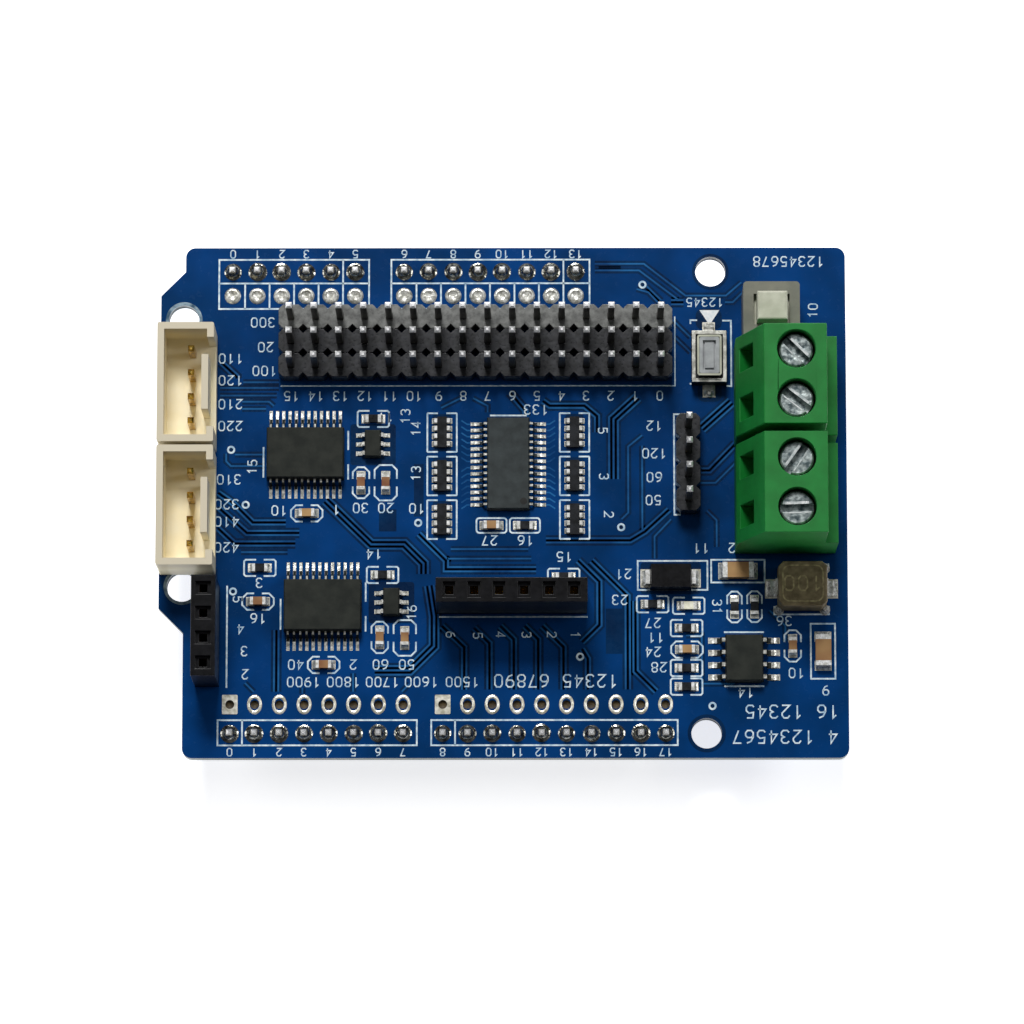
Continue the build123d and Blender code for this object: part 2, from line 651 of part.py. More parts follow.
def reset_tabs():
    end = RESET_LENGTH / 2
    half = RESET_TAB_WIDTH / 2
    far = end + RESET_TAB_LENGTH
    return [
        block(-half, half, end, far, 0, RESET_TAB_HEIGHT),
        block(-half, half, -far, -end, 0, RESET_TAB_HEIGHT),
    ]


# ---- Chips

def chip_body(size):
    """A moulded body with its rows of leads along X, drawn in slightly towards its top."""
    along, across, height = size[:3]
    middle = (CHIP_STANDOFF + height) / 2
    foot = slab(along, across, CHIP_STANDOFF, middle)
    low = Pos(0, 0, middle) * Rectangle(along, across)
    high = Pos(0, 0, height) * Rectangle(along - 2 * MOULD_DRAFT, across - 2 * MOULD_DRAFT)
    return foot + loft([low, high])


def chip_leads(size):
    """Gull-wing leads from the body's middle height down to the board."""
    along, across, height, count, pitch, span = size
    start = across / 2
    end = span / 2
    shoulder = (CHIP_STANDOFF + height) / 2
    reach = end - start
    profile = [
        (start, shoulder - LEAD_THICKNESS / 2), (start + 0.22 * reach, shoulder - LEAD_THICKNESS / 2),
        (start + 0.42 * reach, 0), (end, 0), (end, LEAD_THICKNESS),
        (start + 0.52 * reach, LEAD_THICKNESS), (start + 0.32 * reach, shoulder + LEAD_THICKNESS / 2),
        (start, shoulder + LEAD_THICKNESS / 2),
    ]
    face = make_face(Plane.YZ * Polyline(*profile, close=True))
    lead = extrude(face, pitch * LEAD_WIDTH_SHARE / 2, both=True)
    leads = []
    for i in range(count):
        x = (i - (count - 1) / 2) * pitch
        leads.append(Pos(x, 0, 0) * lead)
        leads.append(Rot(0, 0, 180) * Pos(x, 0, 0) * lead)
    return leads


def two_ended(size):
    """Body and ends of a chip part lying along X."""
    length, width, height, end = size
    inner = length / 2 - end
    body = slab(2 * inner, width, 0, height)
    ends = [
        block(inner, length / 2, -width / 2, width / 2, 0, height),
        block(-length / 2, -inner, -width / 2, width / 2, 0, height),
    ]
    return body, ends


def chip_parts(size, places):
    body, ends = two_ended(size)
    bodies, caps = [], []
    for from_right, up, quarter in places:
        place = on_board(from_right, up, 90 * quarter)
        bodies.append(place * body)
        caps += [place * end for end in ends]
    return bodies, caps


def array_places():
    return [on_board(x, y) for x in ARRAY_COLUMNS_FROM_RIGHT for y in ARRAY_ROWS_UP]


def array_parts():
    """Bodies and end contacts of the resistor arrays, contacts on the two long sides."""
    body = slab(ARRAY_WIDTH - 2 * ARRAY_END_LENGTH, ARRAY_LENGTH, 0, ARRAY_HEIGHT)
    bodies = [place * body for place in array_places()]
    inner = ARRAY_WIDTH / 2 - ARRAY_END_LENGTH
    outer = ARRAY_WIDTH / 2
    caps = []
    for place in array_places():
        for i in range(ARRAY_ENDS):
            y = (i - (ARRAY_ENDS - 1) / 2) * ARRAY_PITCH
            low, high = y - ARRAY_END_WIDTH / 2, y + ARRAY_END_WIDTH / 2
            caps.append(place * block(inner, outer, low, high, 0, ARRAY_HEIGHT))
            caps.append(place * block(-outer, -inner, low, high, 0, ARRAY_HEIGHT))
    return bodies, caps


# ---- Inductor and diode

def inductor_core():
    core = slab(INDUCTOR_LENGTH, INDUCTOR_WIDTH, INDUCTOR_CLIP_THICKNESS, INDUCTOR_HEIGHT)
    core = chamfer(core.edges().filter_by(Axis.Z), INDUCTOR_CORNER)
    return fillet(core.faces().sort_by(Axis.Z)[-1].edges(), 0.15)


def inductor_clips():
    """A foot under each end, turned up a little against the end of the core."""
    end = INDUCTOR_LENGTH / 2
    half = INDUCTOR_CLIP_WIDTH / 2
    foot = block(end - 1.2, end + INDUCTOR_CLIP_OUT, -half, half, 0, INDUCTOR_CLIP_THICKNESS)
    upright = block(end, end + INDUCTOR_CLIP_THICKNESS, -half, half, 0, INDUCTOR_HEIGHT / 2)
    clip = foot + upright
    return [clip, Rot(0, 0, 180) * clip]


def diode_body():
    low = Pos(0, 0, DIODE_TAB_THICKNESS) * Rectangle(DIODE_LENGTH, DIODE_WIDTH)
    draft = 2 * MOULD_DRAFT
    high = Pos(0, 0, DIODE_HEIGHT) * Rectangle(DIODE_LENGTH - draft, DIODE_WIDTH - draft)
    return loft([low, high])


def diode_tabs():
    end = DIODE_LENGTH / 2
    half = DIODE_TAB_WIDTH / 2
    tab = block(end - 1.0, end + DIODE_TAB_OUT, -half, half, 0, DIODE_TAB_THICKNESS)
    upright = block(
        end + DIODE_TAB_OUT - DIODE_TAB_THICKNESS, end + DIODE_TAB_OUT, -half, half,
        0, DIODE_HEIGHT / 2,
    )
    shoulder = block(
        end, end + DIODE_TAB_OUT, -half, half,
        DIODE_HEIGHT / 2 - DIODE_TAB_THICKNESS, DIODE_HEIGHT / 2,
    )
    tab = tab + upright + shoulder
    return [tab, Rot(0, 0, 180) * tab]


# ---- Board

def mount_hole_spots():
    return [
        (LEFT + LEFT_HOLES_IN, TOP - LEFT_HOLE_HIGH),
        (LEFT + LEFT_HOLES_IN, TOP - LEFT_HOLE_HIGH - LEFT_HOLE_SPACING),
        (RIGHT - TOP_HOLE_FROM_RIGHT, TOP - RIGHT_HOLES_IN),
        (RIGHT - BOTTOM_HOLE_FROM_RIGHT, BOTTOM + RIGHT_HOLES_IN),
    ]


def pitch_spots(place, count):
    """Where the ways of a strip or socket lie on the board."""
    ways = [(place * Pos(i * PITCH, 0, 0)).position for i in range(count)]
    return [(way.X, way.Y) for way in ways]


def header_pin_spots():
    """Places where square pins and contact tails pass through the board."""
    spots = upper_spots() + lower_spots()
    for row in range(len(SERVO_ROWS)):
        spots += pitch_spots(servo_place(row), SERVO_CHANNELS)
    spots += pitch_spots(supply_place(), SUPPLY_PINS)
    for index in range(MOTOR_CONNECTORS):
        centre = motor_place(index).position
        spots += [(centre.X + x, centre.Y + y) for x, y in motor_pin_ways()]
    spots += pitch_spots(serial_place(), SERIAL_WAYS)
    spots += pitch_spots(receiver_place(), RECEIVER_WAYS)
    return spots


def circuit_board():
    tab_top = TOP - TAB_FROM_TOP
    tab_low = tab_top - TAB_LENGTH
    inner = LEFT + TAB_STEP
    corners = [
        (inner, TOP), (inner, tab_top + TAB_STEP), (LEFT, tab_top), (LEFT, tab_low),
        (inner, tab_low - TAB_STEP), (inner, BOTTOM), (RIGHT, BOTTOM), (RIGHT, TOP),
    ]
    face = make_face(Polyline(*corners, close=True))
    outer = [v for v in face.vertices() if abs(abs(v.Y) - BOARD_WIDTH / 2) < 0.01]
    face = fillet(outer, BOARD_CORNER_RADIUS)
    pin_radius = PIN_SIDE * 2 ** 0.5 / 2 + BOARD_HOLE_GAP
    post_radius = (POST_WIDTH ** 2 + POST_THICKNESS ** 2) ** 0.5 / 2 + BOARD_HOLE_GAP
    leg_radius = (POWER_LEG_WIDTH ** 2 + POWER_LEG_THICKNESS ** 2) ** 0.5 / 2 + BOARD_HOLE_GAP
    holes = [Pos(x, y) * Circle(MOUNT_HOLE_DIAMETER / 2) for x, y in mount_hole_spots()]
    holes += [Pos(x, y) * Circle(pin_radius) for x, y in header_pin_spots()]
    for x, y in upper_spots(UPPER_SPARE_ROW_IN) + lower_spots(LOWER_SPARE_ROW_IN):
        holes.append(Pos(x, y) * Circle(SPARE_HOLE_DIAMETER / 2))
    for place in pole_places():
        spot = (place * Pos(post_x(), 0, 0)).position
        holes.append(Pos(spot.X, spot.Y) * Circle(post_radius))
    switch = power_place().position
    for x, y in power_leg_spots():
        holes.append(Pos(switch.X + x, switch.Y + y) * Circle(leg_radius))
    return Pos(0, 0, BOARD_UNDER) * extrude(face - holes, BOARD_THICKNESS)


# ---- Everything in its place

os.makedirs("parts", exist_ok=True)

save("circuit_board", circuit_board())

shield_rows = (("upper", UPPER_STRIPS, TOP - ROW_IN), ("lower", LOWER_STRIPS, BOTTOM + ROW_IN))
for name, strips, y in shield_rows:
    plastic, pins = shield_strips(strips, y)
    save(name + "_shield_header_strips", *plastic)
    save(name + "_shield_header_pins", *pins)

for row, name in enumerate(SERVO_ROWS):
    strip, pins = strip_on_board(servo_place(row), SERVO_CHANNELS)
    save("servo_" + name + "_strip", strip)
    save("servo_" + name + "_pins", *pins)

strip, pins = strip_on_board(supply_place(), SUPPLY_PINS)
save("voltage_header_strip", strip)
save("voltage_header_pins", *pins)

for index in range(MOTOR_CONNECTORS):
    place = motor_place(MOTOR_CONNECTORS - 1 - index)
    pin = header_pin(-BOARD_THICKNESS - MOTOR_PIN_TAIL, MOTOR_PIN_HEIGHT)
    save("motor_connector_" + str(index + 1), place * motor_housing())
    pins = [place * Pos(x, y, 0) * pin for x, y in motor_pin_ways()]
    save("motor_connector_pins_" + str(index + 1), *pins)

sockets = (("serial", serial_place(), SERIAL_WAYS), ("receiver", receiver_place(), RECEIVER_WAYS))
for name, place, ways in sockets:
    save(name + "_socket", place * socket_housing(ways))
    save(name + "_socket_contacts", *[way * socket_contact() for way in socket_ways(place, ways)])

for index in range(BLOCKS):
    housing = terminal_housing(with_rib=index == 0)
    save("terminal_block_" + str(BLOCKS - index), block_place(index) * housing)
for index, place in enumerate(pole_places()):
    save("terminal_screw_" + str(index + 1), place * terminal_screw(SCREW_SLOT_ANGLES[index]))
    save("wire_cage_" + str(index + 1), place * wire_cage())
save("terminal_contacts", *[place * terminal_contact() for place in pole_places()])

place = power_place()
save("power_switch_body", place * power_body())
save("power_switch_button", place * power_button())
save("power_switch_spring", place * power_spring())
save("power_switch_legs", *[place * leg for leg in power_legs()])

place = reset_place()
save("reset_switch_base", place * reset_base())
save("reset_switch_frame", place * reset_frame())
save("reset_switch_button", place * reset_button())
save("reset_switch_dome", place * reset_dome())
save("reset_switch_tabs", *[place * tab for tab in reset_tabs()])

for index, (from_right, up) in enumerate(MOTOR_DRIVER_PLACES):
    place = on_board(from_right, up)
    save("motor_driver_" + str(index + 1), place * chip_body(MOTOR_DRIVER_SIZE))
    leads = [place * lead for lead in chip_leads(MOTOR_DRIVER_SIZE)]
    save("motor_driver_leads_" + str(index + 1), *leads)
turned_chips = (
    ("pwm_chip", PWM_CHIP_SIZE, PWM_CHIP_PLACE),
    ("regulator", REGULATOR_SIZE, REGULATOR_PLACE),
)
for name, size, spot in turned_chips:
    place = on_board(*spot, 90)
    save(name, place * chip_body(size))
    save(name + "_leads", *[place * lead for lead in chip_leads(size)])
places = [on_board(*spot, 90) for spot in SMALL_CHIP_PLACES]
save("small_chips", *[place * chip_body(SMALL_CHIP_SIZE) for place in places])
save("small_chip_leads", *[place * lead for place in places for lead in chip_leads(SMALL_CHIP_SIZE)])

resistors, resistor_ends = chip_parts(SMALL_CHIP_PART, RESISTOR_PLACES)
capacitors, capacitor_ends = chip_parts(SMALL_CAPACITOR, CAPACITOR_PLACES)
large_capacitors, large_ends = chip_parts(LARGE_CAPACITOR, LARGE_CAPACITOR_PLACES)
led, led_ends = chip_parts(SMALL_CHIP_PART, (LED_PLACE,))
arrays, array_ends = array_parts()
save("resistors", *resistors)
save("capacitors", *capacitors, *large_capacitors)
save("indicator_led", *led)
save("resistor_arrays", *arrays)
save("chip_end_caps", *resistor_ends, *capacitor_ends, *large_ends, *led_ends, *array_ends)

place = on_board(*INDUCTOR_PLACE)
save("inductor_core", place * inductor_core())
save("inductor_clips", *[place * clip for clip in inductor_clips()])
place = on_board(*DIODE_PLACE)
save("diode", place * diode_body())
save("diode_tabs", *[place * tab for tab in diode_tabs()])
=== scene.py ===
import math
import random

import bmesh
import bpy
from mathutils import Matrix, Vector


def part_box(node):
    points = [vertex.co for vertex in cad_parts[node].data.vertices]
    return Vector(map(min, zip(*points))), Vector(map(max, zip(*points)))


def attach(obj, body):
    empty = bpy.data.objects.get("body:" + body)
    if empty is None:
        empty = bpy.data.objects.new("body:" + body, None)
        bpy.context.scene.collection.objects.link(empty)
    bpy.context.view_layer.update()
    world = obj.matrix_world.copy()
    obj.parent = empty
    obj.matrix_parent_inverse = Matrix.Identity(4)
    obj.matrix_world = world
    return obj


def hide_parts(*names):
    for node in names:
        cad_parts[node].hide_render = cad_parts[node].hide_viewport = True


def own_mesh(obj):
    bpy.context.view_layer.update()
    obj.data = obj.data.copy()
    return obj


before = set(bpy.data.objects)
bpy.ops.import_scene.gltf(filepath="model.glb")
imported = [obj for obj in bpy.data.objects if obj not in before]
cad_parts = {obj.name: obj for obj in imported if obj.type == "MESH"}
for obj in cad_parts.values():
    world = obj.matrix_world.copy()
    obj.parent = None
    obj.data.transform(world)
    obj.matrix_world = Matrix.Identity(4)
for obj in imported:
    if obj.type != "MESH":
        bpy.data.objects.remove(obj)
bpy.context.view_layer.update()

mm = 0.001
perMm = 1000.0      # a pattern of 1 mm has this scale, because the model is in metres


# lowest and highest corner of a CAD node, in mm
def boxOf(node):
    return [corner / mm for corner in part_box(node)]


boardLow, boardHigh = boxOf("circuit_board")
boardTop, boardUnder = boardHigh.z, boardLow.z
seat = 0.01         # how far a drawn piece is let into the face that it lies on


def linearColour(hexCode):
    channels = [int(hexCode[i:i + 2], 16) / 255 for i in (1, 3, 5)]
    return tuple(c / 12.92 if c <= 0.04045 else ((c + 0.055) / 1.055) ** 2.4 for c in channels) + (1.0,)


def addNode(tree, kind, settings, links=None):
    node = tree.nodes.new("ShaderNode" + kind)
    for name, value in settings.items():
        if isinstance(name, str) and hasattr(node, name):
            setattr(node, name, value)
        else:
            node.inputs[name].default_value = value
    for name, socket in (links or {}).items():
        tree.links.new(socket, node.inputs[name])
    return node


# what most finishes share; a look says only what differs
# roughness is (mean, spread), and grain is (size in mm, depth in mm, strength of its relief)
# real grain is finer than 0.1 mm and wouldn't show, so it is drawn as coarse as it needs to be seen
usualLook = {
    "metallic": 0.0, "ior": 1.5, "specular": 0.25, "blotchDetail": 3.0, "blotchRange": (0.35, 0.65),
    "grain": (0.15, 0.01, 0.3), "grainDetail": 2.0,
}


# a surface whose colour wanders between two shades, with a fine grain in its roughness and relief
# painted light adds a third colour along Z, between two heights of the named coordinate: a painted highlight on pin
# tips, or painted light and shade by height
def surfaceMaterial(name, chosen):
    look = {**usualLook, **chosen}
    low, high = (linearColour(shade) for shade in look["shades"])
    mean, spread = look["roughness"]
    grainMm, grainDepthMm, grainStrength = look["grain"]
    material = bpy.data.materials.new(name)
    material.use_nodes = True
    tree = material.node_tree
    shader = tree.nodes["Principled BSDF"]
    shader.inputs["Metallic"].default_value = look["metallic"]
    shader.inputs["IOR"].default_value = look["ior"]
    shader.inputs["Specular IOR Level"].default_value = look["specular"]
    places = addNode(tree, "TexCoord", {})
    place = places.outputs["Object"]
    blotch = addNode(
        tree, "TexNoise", {"Scale": perMm / look["blotchMm"], "Detail": look["blotchDetail"]}, {"Vector": place},
    )
    blotchFrom, blotchTo = look["blotchRange"]
    amount = addNode(
        tree, "MapRange", {"From Min": blotchFrom, "From Max": blotchTo}, {"Value": blotch.outputs["Fac"]},
    )
    colour = addNode(
        tree, "Mix", {"data_type": "RGBA", 6: low, 7: high}, {0: amount.outputs["Result"]},
    ).outputs[2]
    if "paintedLight" in look:
        paintedLight = look["paintedLight"]
        axes = addNode(tree, "SeparateXYZ", {}, {0: places.outputs[paintedLight["along"]]})
        share = addNode(
            tree, "MapRange", {"From Min": paintedLight["start"], "From Max": paintedLight["end"]},
            {"Value": axes.outputs["Z"]},
        )
        colour = addNode(
            tree, "Mix", {"data_type": "RGBA", 7: linearColour(paintedLight["colour"])},
            {0: share.outputs["Result"], 6: colour},
        ).outputs[2]
    grain = addNode(
        tree, "TexNoise", {"Scale": perMm / grainMm, "Detail": look["grainDetail"]}, {"Vector": place},
    )
    rough = addNode(
        tree, "MapRange", {"To Min": mean - spread, "To Max": mean + spread}, {"Value": grain.outputs["Fac"]},
    )
    bump = addNode(
        tree, "Bump", {"Strength": grainStrength, "Distance": grainDepthMm * mm}, {"Height": grain.outputs["Fac"]},
    )
    tree.links.new(colour, shader.inputs["Base Color"])
    tree.links.new(rough.outputs["Result"], shader.inputs["Roughness"])
    tree.links.new(bump.outputs["Normal"], shader.inputs["Normal"])
    return material


# glossy blue solder mask over a woven laminate: wavy blue on the faces, and on the cut edges pale resin
# with its plies of glass cloth
def solderMaskedLaminate():
    look = {
        "shades": ("#012E5C", "#033C79"), "blotchMm": 8.0, "ior": 1.55, "specular": 0.08,
        "roughness": (0.26, 0.05), "grain": (0.7, 0.008, 0.3),
        "resin": "#26383F", "glass": "#5C6B60", "plyMm": 0.3946, "plyWaver": 1.5, "faceTilt": 0.5,
    }
    material = surfaceMaterial("solderMaskedLaminate", look)
    tree = material.node_tree
    shader = tree.nodes["Principled BSDF"]
    maskColour = shader.inputs["Base Color"].links[0].from_socket
    place = addNode(tree, "TexCoord", {}).outputs["Object"]
    plyScale = perMm * math.pi / 10 / look["plyMm"]     # bands lie pi / 10 apart at scale 1
    plies = addNode(
        tree, "TexWave", {"bands_direction": "Z", "Scale": plyScale, "Distortion": look["plyWaver"]},
        {"Vector": place},
    )
    edge = addNode(
        tree, "Mix",
        {"data_type": "RGBA", 6: linearColour(look["resin"]), 7: linearColour(look["glass"])},
        {0: plies.outputs["Fac"]},
    )
    normal = addNode(tree, "NewGeometry", {}).outputs["Normal"]
    axes = addNode(tree, "SeparateXYZ", {}, {0: normal})
    upright = addNode(tree, "Math", {"operation": "ABSOLUTE"}, {0: axes.outputs["Z"]})
    isFace = addNode(tree, "Math", {"operation": "GREATER_THAN", 1: look["faceTilt"]}, {0: upright.outputs[0]})
    colour = addNode(
        tree, "Mix", {"data_type": "RGBA"}, {0: isFace.outputs[0], 6: edge.outputs[2], 7: maskColour},
    )
    tree.links.new(colour.outputs[2], shader.inputs["Base Color"])
    return material


looks = {
    # header strips moulded in glass-filled nylon: near black, satin, with pale flow marks
    "mouldedBlackNylon": {
        "shades": ("#131416", "#2B2C30"), "blotchMm": 0.7, "ior": 1.53, "specular": 0.5, "roughness": (0.3, 0.1),
        "grain": (0.3, 0.02, 0.4),
    },
    # the outer strip, the same black nylon painted grey: a painted reflection of the key lamp, which this row
    # mirrors
    "polishedGreyNylon": {
        "shades": ("#575856", "#7F807D"), "blotchMm": 0.9, "ior": 1.53, "specular": 0.5, "roughness": (0.28, 0.1),
        "grain": (0.3, 0.02, 0.4),
    },
    # socket strips moulded in polyester: black and a little softer
    "mouldedBlackPolyester": {
        "shades": ("#070709", "#121215"), "blotchMm": 0.8, "ior": 1.57, "specular": 0.15, "roughness": (0.32, 0.08),
        "grain": (0.25, 0.015, 0.3),
    },
    # square wire drawn in brass and tin plated: dull sides, and a painted highlight in white at the tip
    "tinPlatedWire": {
        "shades": ("#4A4946", "#6C6A64"), "blotchMm": 2.0, "metallic": 0.8, "roughness": (0.3, 0.08),
        "grain": (0.12, 0.01, 0.3),
        "paintedLight": {"along": "Generated", "start": 0.975, "end": 0.985, "colour": "#FFFFFF"},
    },
    # the same wire in the board's own row, pins cut from tin-plated strip: even and bright, with a painted
    # highlight in white at the tip
    "brightPinWire": {
        "shades": ("#B2AFA5", "#D3D0C7"), "blotchMm": 1.8, "metallic": 0.7, "roughness": (0.28, 0.08),
        "grain": (0.12, 0.01, 0.12),
        "paintedLight": {"along": "Generated", "start": 0.985, "end": 0.99, "colour": "#FFFFFF"},
    },
    # thin gold over nickel: warm yellow, slightly uneven
    "goldFlashedBrass": {
        "shades": ("#8E6A22", "#E0BC5E"), "blotchMm": 0.4, "metallic": 0.9, "roughness": (0.26, 0.08),
    },
    # natural nylon, uncoloured: greyish ivory at the rim, and warmer and paler down in the wells as painted light,
    # which brightens the wells that the lamps leave in shade
    "mouldedIvoryNylon": {
        "shades": ("#FDF1CC", "#FFF6D8"), "blotchMm": 2.5, "ior": 1.53, "roughness": (0.42, 0.08),
        "grain": (0.3, 0.02, 0.3),
        "paintedLight": {"along": "Generated", "start": 0.55, "end": 1.0, "colour": "#D2C8B0"},
    },
    # green polyamide from a spark-eroded tool: even colour, fine matt grain
    "mouldedGreenPolyamide": {
        "shades": ("#0E6E28", "#147D31"), "blotchMm": 3.0, "ior": 1.53, "roughness": (0.5, 0.07),
        "grain": (0.2, 0.02, 0.35),
    },
    # zinc plated and tumbled: blue-white, full of small dents that flash
    "tumbledZincPlate": {
        "shades": ("#5A686C", "#C8D2D0"), "blotchMm": 0.5, "metallic": 0.7, "roughness": (0.3, 0.1),
        "grain": (0.7, 0.1, 0.6),
    },
    # tinned steel strip, stamped: grey with rolling marks
    "tinnedSteelStrip": {
        "shades": ("#A5A49B", "#E2E1D8"), "blotchMm": 0.6, "metallic": 0.7, "roughness": (0.34, 0.1),
        "grain": (0.2, 0.02, 0.4),
    },
    # drawn spring wire: darker, smooth
    "drawnSpringSteel": {
        "shades": ("#8C8D8E", "#C2C3C2"), "blotchMm": 0.4, "metallic": 0.9, "roughness": (0.25, 0.08),
    },
    # switch case moulded in warm grey ABS
    "mouldedGreyAbs": {
        "shades": ("#6C6D62", "#78786B"), "blotchMm": 1.5, "ior": 1.54, "roughness": (0.42, 0.08),
        "grain": (0.25, 0.02, 0.3),
    },
    # its push button is paler and smoother
    "mouldedPaleAbs": {
        "shades": ("#AEAF9C", "#C2C2B0"), "blotchMm": 1.5, "ior": 1.54, "roughness": (0.38, 0.06),
        "grain": (0.25, 0.015, 0.25),
    },
    # the reset button, moulded in a cooler grey
    "mouldedCoolGreyAbs": {
        "shades": ("#939698", "#ADB0B1"), "blotchMm": 1.0, "ior": 1.54, "roughness": (0.38, 0.06),
        "grain": (0.25, 0.015, 0.25),
    },
    # small switch body, moulded black
    "mouldedBlackAbs": {
        "shades": ("#0A0B0A", "#1A1B19"), "blotchMm": 1.0, "ior": 1.54, "roughness": (0.45, 0.08),
        "grain": (0.25, 0.015, 0.3),
    },
    # chips transfer-moulded in filled epoxy: dull grey-green black with a sandy skin
    "mouldedChipEpoxy": {
        "shades": ("#191D19", "#272A25"), "blotchMm": 1.4, "ior": 1.56, "specular": 0.15, "roughness": (0.6, 0.1),
        "grain": (0.12, 0.02, 0.5),
    },
    # another kind of chip, moulded in a bluer grey
    "bluishChipEpoxy": {
        "shades": ("#252B2C", "#333A3B"), "blotchMm": 1.4, "ior": 1.56, "specular": 0.2, "roughness": (0.58, 0.1),
        "grain": (0.12, 0.02, 0.5),
    },
    # plated copper leads, bent and dipped: bright and a little lumpy
    "solderDippedLead": {
        "shades": ("#C4C3BA", "#FFFFFF"), "blotchMm": 0.35, "metallic": 0.25, "roughness": (0.28, 0.1),
        "grain": (0.2, 0.02, 0.5),
    },
    # pressed ferrite under a glassy coat: warm grey, slightly brown
    "pressedFerrite": {
        "shades": ("#574C32", "#7B6E50"), "blotchMm": 1.0, "ior": 1.6, "roughness": (0.5, 0.1),
        "grain": (0.18, 0.02, 0.5),
    },
    # fired ceramic of the capacitors: each lot a different tan or brown, smooth
    "firedTanCeramic": {
        "shades": ("#7A4A2C", "#B08C5C"), "blotchMm": 5.0, "ior": 1.65, "roughness": (0.36, 0.08),
    },
    # thick film resistors: black glaze on white alumina
    "glazedResistor": {
        "shades": ("#0E0F11", "#24262A"), "blotchMm": 0.8, "ior": 1.52, "roughness": (0.3, 0.08),
    },
    # clear lamp resin over a pale base
    "clearLampResin": {
        "shades": ("#DAD8BD", "#F7F5E2"), "blotchMm": 0.5, "ior": 1.53, "roughness": (0.2, 0.05),
        "grain": (0.25, 0.01, 0.2),
    },
    # painted highlight beside a screw slot: bright, smooth steel
    "paintedSlotGlint": {
        "shades": ("#B9C4C4", "#FFFFFF"), "blotchMm": 0.6, "metallic": 0.4, "roughness": (0.25, 0.08),
        "grain": (0.3, 0.02, 0.3),
    },
    # ferrite where the coat is worn along the edge and in the moulded figures: paler, drier
    "wornFerriteEdge": {
        "shades": ("#6F6444", "#A3976F"), "blotchMm": 0.5, "ior": 1.6, "roughness": (0.55, 0.1),
        "grain": (0.18, 0.02, 0.4),
    },
    # solder that was melted: mirror-like with soft ripples, so it is dark beside its highlights
    "reflowedSolder": {
        "shades": ("#575650", "#B9B8AF"), "blotchMm": 0.5, "metallic": 0.95, "roughness": (0.17, 0.08),
        "grain": (0.5, 0.08, 0.6),
    },
    # solder paste melted in a thin film: duller, nearly white
    "meltedPaste": {
        "shades": ("#9D9C92", "#F6F5EE"), "blotchMm": 0.4, "metallic": 0.5, "roughness": (0.28, 0.1),
        "grain": (0.3, 0.05, 0.6),
    },
    # hot-air levelled tin on the pads: pale and softly uneven
    "levelledTinPad": {
        "shades": ("#B3AF9C", "#F3F0E4"), "blotchMm": 0.6, "metallic": 0.45, "roughness": (0.35, 0.1),
        "grain": (0.35, 0.04, 0.5),
    },
    # screen-printed epoxy ink: pale blue-white, thin enough to let the mask through a little
    "screenPrintedInk": {
        "shades": ("#9DBBD1", "#E2EEF2"), "blotchMm": 0.5, "ior": 1.55, "roughness": (0.6, 0.08),
    },
    # the same ink laid on thick: clean white
    "thickPrintedInk": {
        "shades": ("#DDE6EA", "#FFFFFF"), "blotchMm": 0.6, "ior": 1.55, "roughness": (0.6, 0.08),
    },
    # mask over copper tracks: the same blue, paler along the metal
    "maskOverCopper": {
        "shades": ("#0B3D70", "#22649C"), "blotchMm": 4.0, "ior": 1.55, "specular": 0.12, "roughness": (0.26, 0.06),
        "grain": (0.5, 0.01, 0.3),
    },
    # mask over the bare laminate between copper areas: nearly black
    "maskOverLaminate": {
        "shades": ("#011D3E", "#012B52"), "blotchMm": 4.0, "ior": 1.55, "specular": 0.1, "roughness": (0.28, 0.06),
        "grain": (0.5, 0.01, 0.3),
    },
    # plating round a hole, worn and half covered by mask: dull blue-grey
    "wornHolePlating": {
        "shades": ("#2E4A5E", "#8FA3AF"), "blotchMm": 0.9, "metallic": 0.4, "roughness": (0.35, 0.1),
        "grain": (0.3, 0.03, 0.4),
    },
    # painted shade in the empty holes: dark brown plugs for the shade under the board
    "paintedHoleShade": {
        "shades": ("#33291A", "#5A4B30"), "blotchMm": 0.5, "ior": 1.52, "roughness": (0.4, 0.1),
        "grain": (0.3, 0.03, 0.4),
    },
}
made = {name: surfaceMaterial(name, look) for name, look in looks.items()}
made["solderMaskedLaminate"] = solderMaskedLaminate()

finishes = {
    "solderMaskedLaminate": ("circuit_board",), "mouldedBlackNylon": ("strip",),
    "polishedGreyNylon": ("servo_ground_strip",), "tinPlatedWire": ("pins",),
    "brightPinWire": ("shield_header_pins",), "goldFlashedBrass": ("motor_connector_pins", "socket_contacts"),
    "mouldedIvoryNylon": ("motor_connector",), "mouldedBlackPolyester": ("socket", "diode"),
    "mouldedGreenPolyamide": ("terminal_block",), "tumbledZincPlate": ("terminal_screw",),
    "tinnedSteelStrip": (
        "terminal_contacts", "wire_cage", "power_switch_legs", "reset_switch_frame", "reset_switch_tabs",
    ),
    "mouldedGreyAbs": ("power_switch_body",), "mouldedPaleAbs": ("power_switch_button",),
    "drawnSpringSteel": ("power_switch_spring", "reset_switch_dome"), "mouldedBlackAbs": ("reset_switch_base",),
    "mouldedCoolGreyAbs": ("reset_switch_button",),
    "solderDippedLead": ("_leads", "diode_tabs", "chip_end_caps", "inductor_clips"),
    "pressedFerrite": ("inductor_core",), "firedTanCeramic": ("capacitors",), "clearLampResin": ("indicator_led",),
    "mouldedChipEpoxy": ("motor_driver", "regulator", "small_chips"), "bluishChipEpoxy": ("pwm_chip",),
    "glazedResistor": ("resistor",),
}
finishOfKey = {key: finish for finish, keys in finishes.items() for key in keys}


# the longest key that is in a node's name says its finish
def finishOf(node):
    return made[finishOfKey[max((key for key in finishOfKey if key in node), key=len)]]


for node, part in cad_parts.items():
    part.data.materials.clear()
    part.data.materials.append(finishOf(node))
print("finishes on the parts")


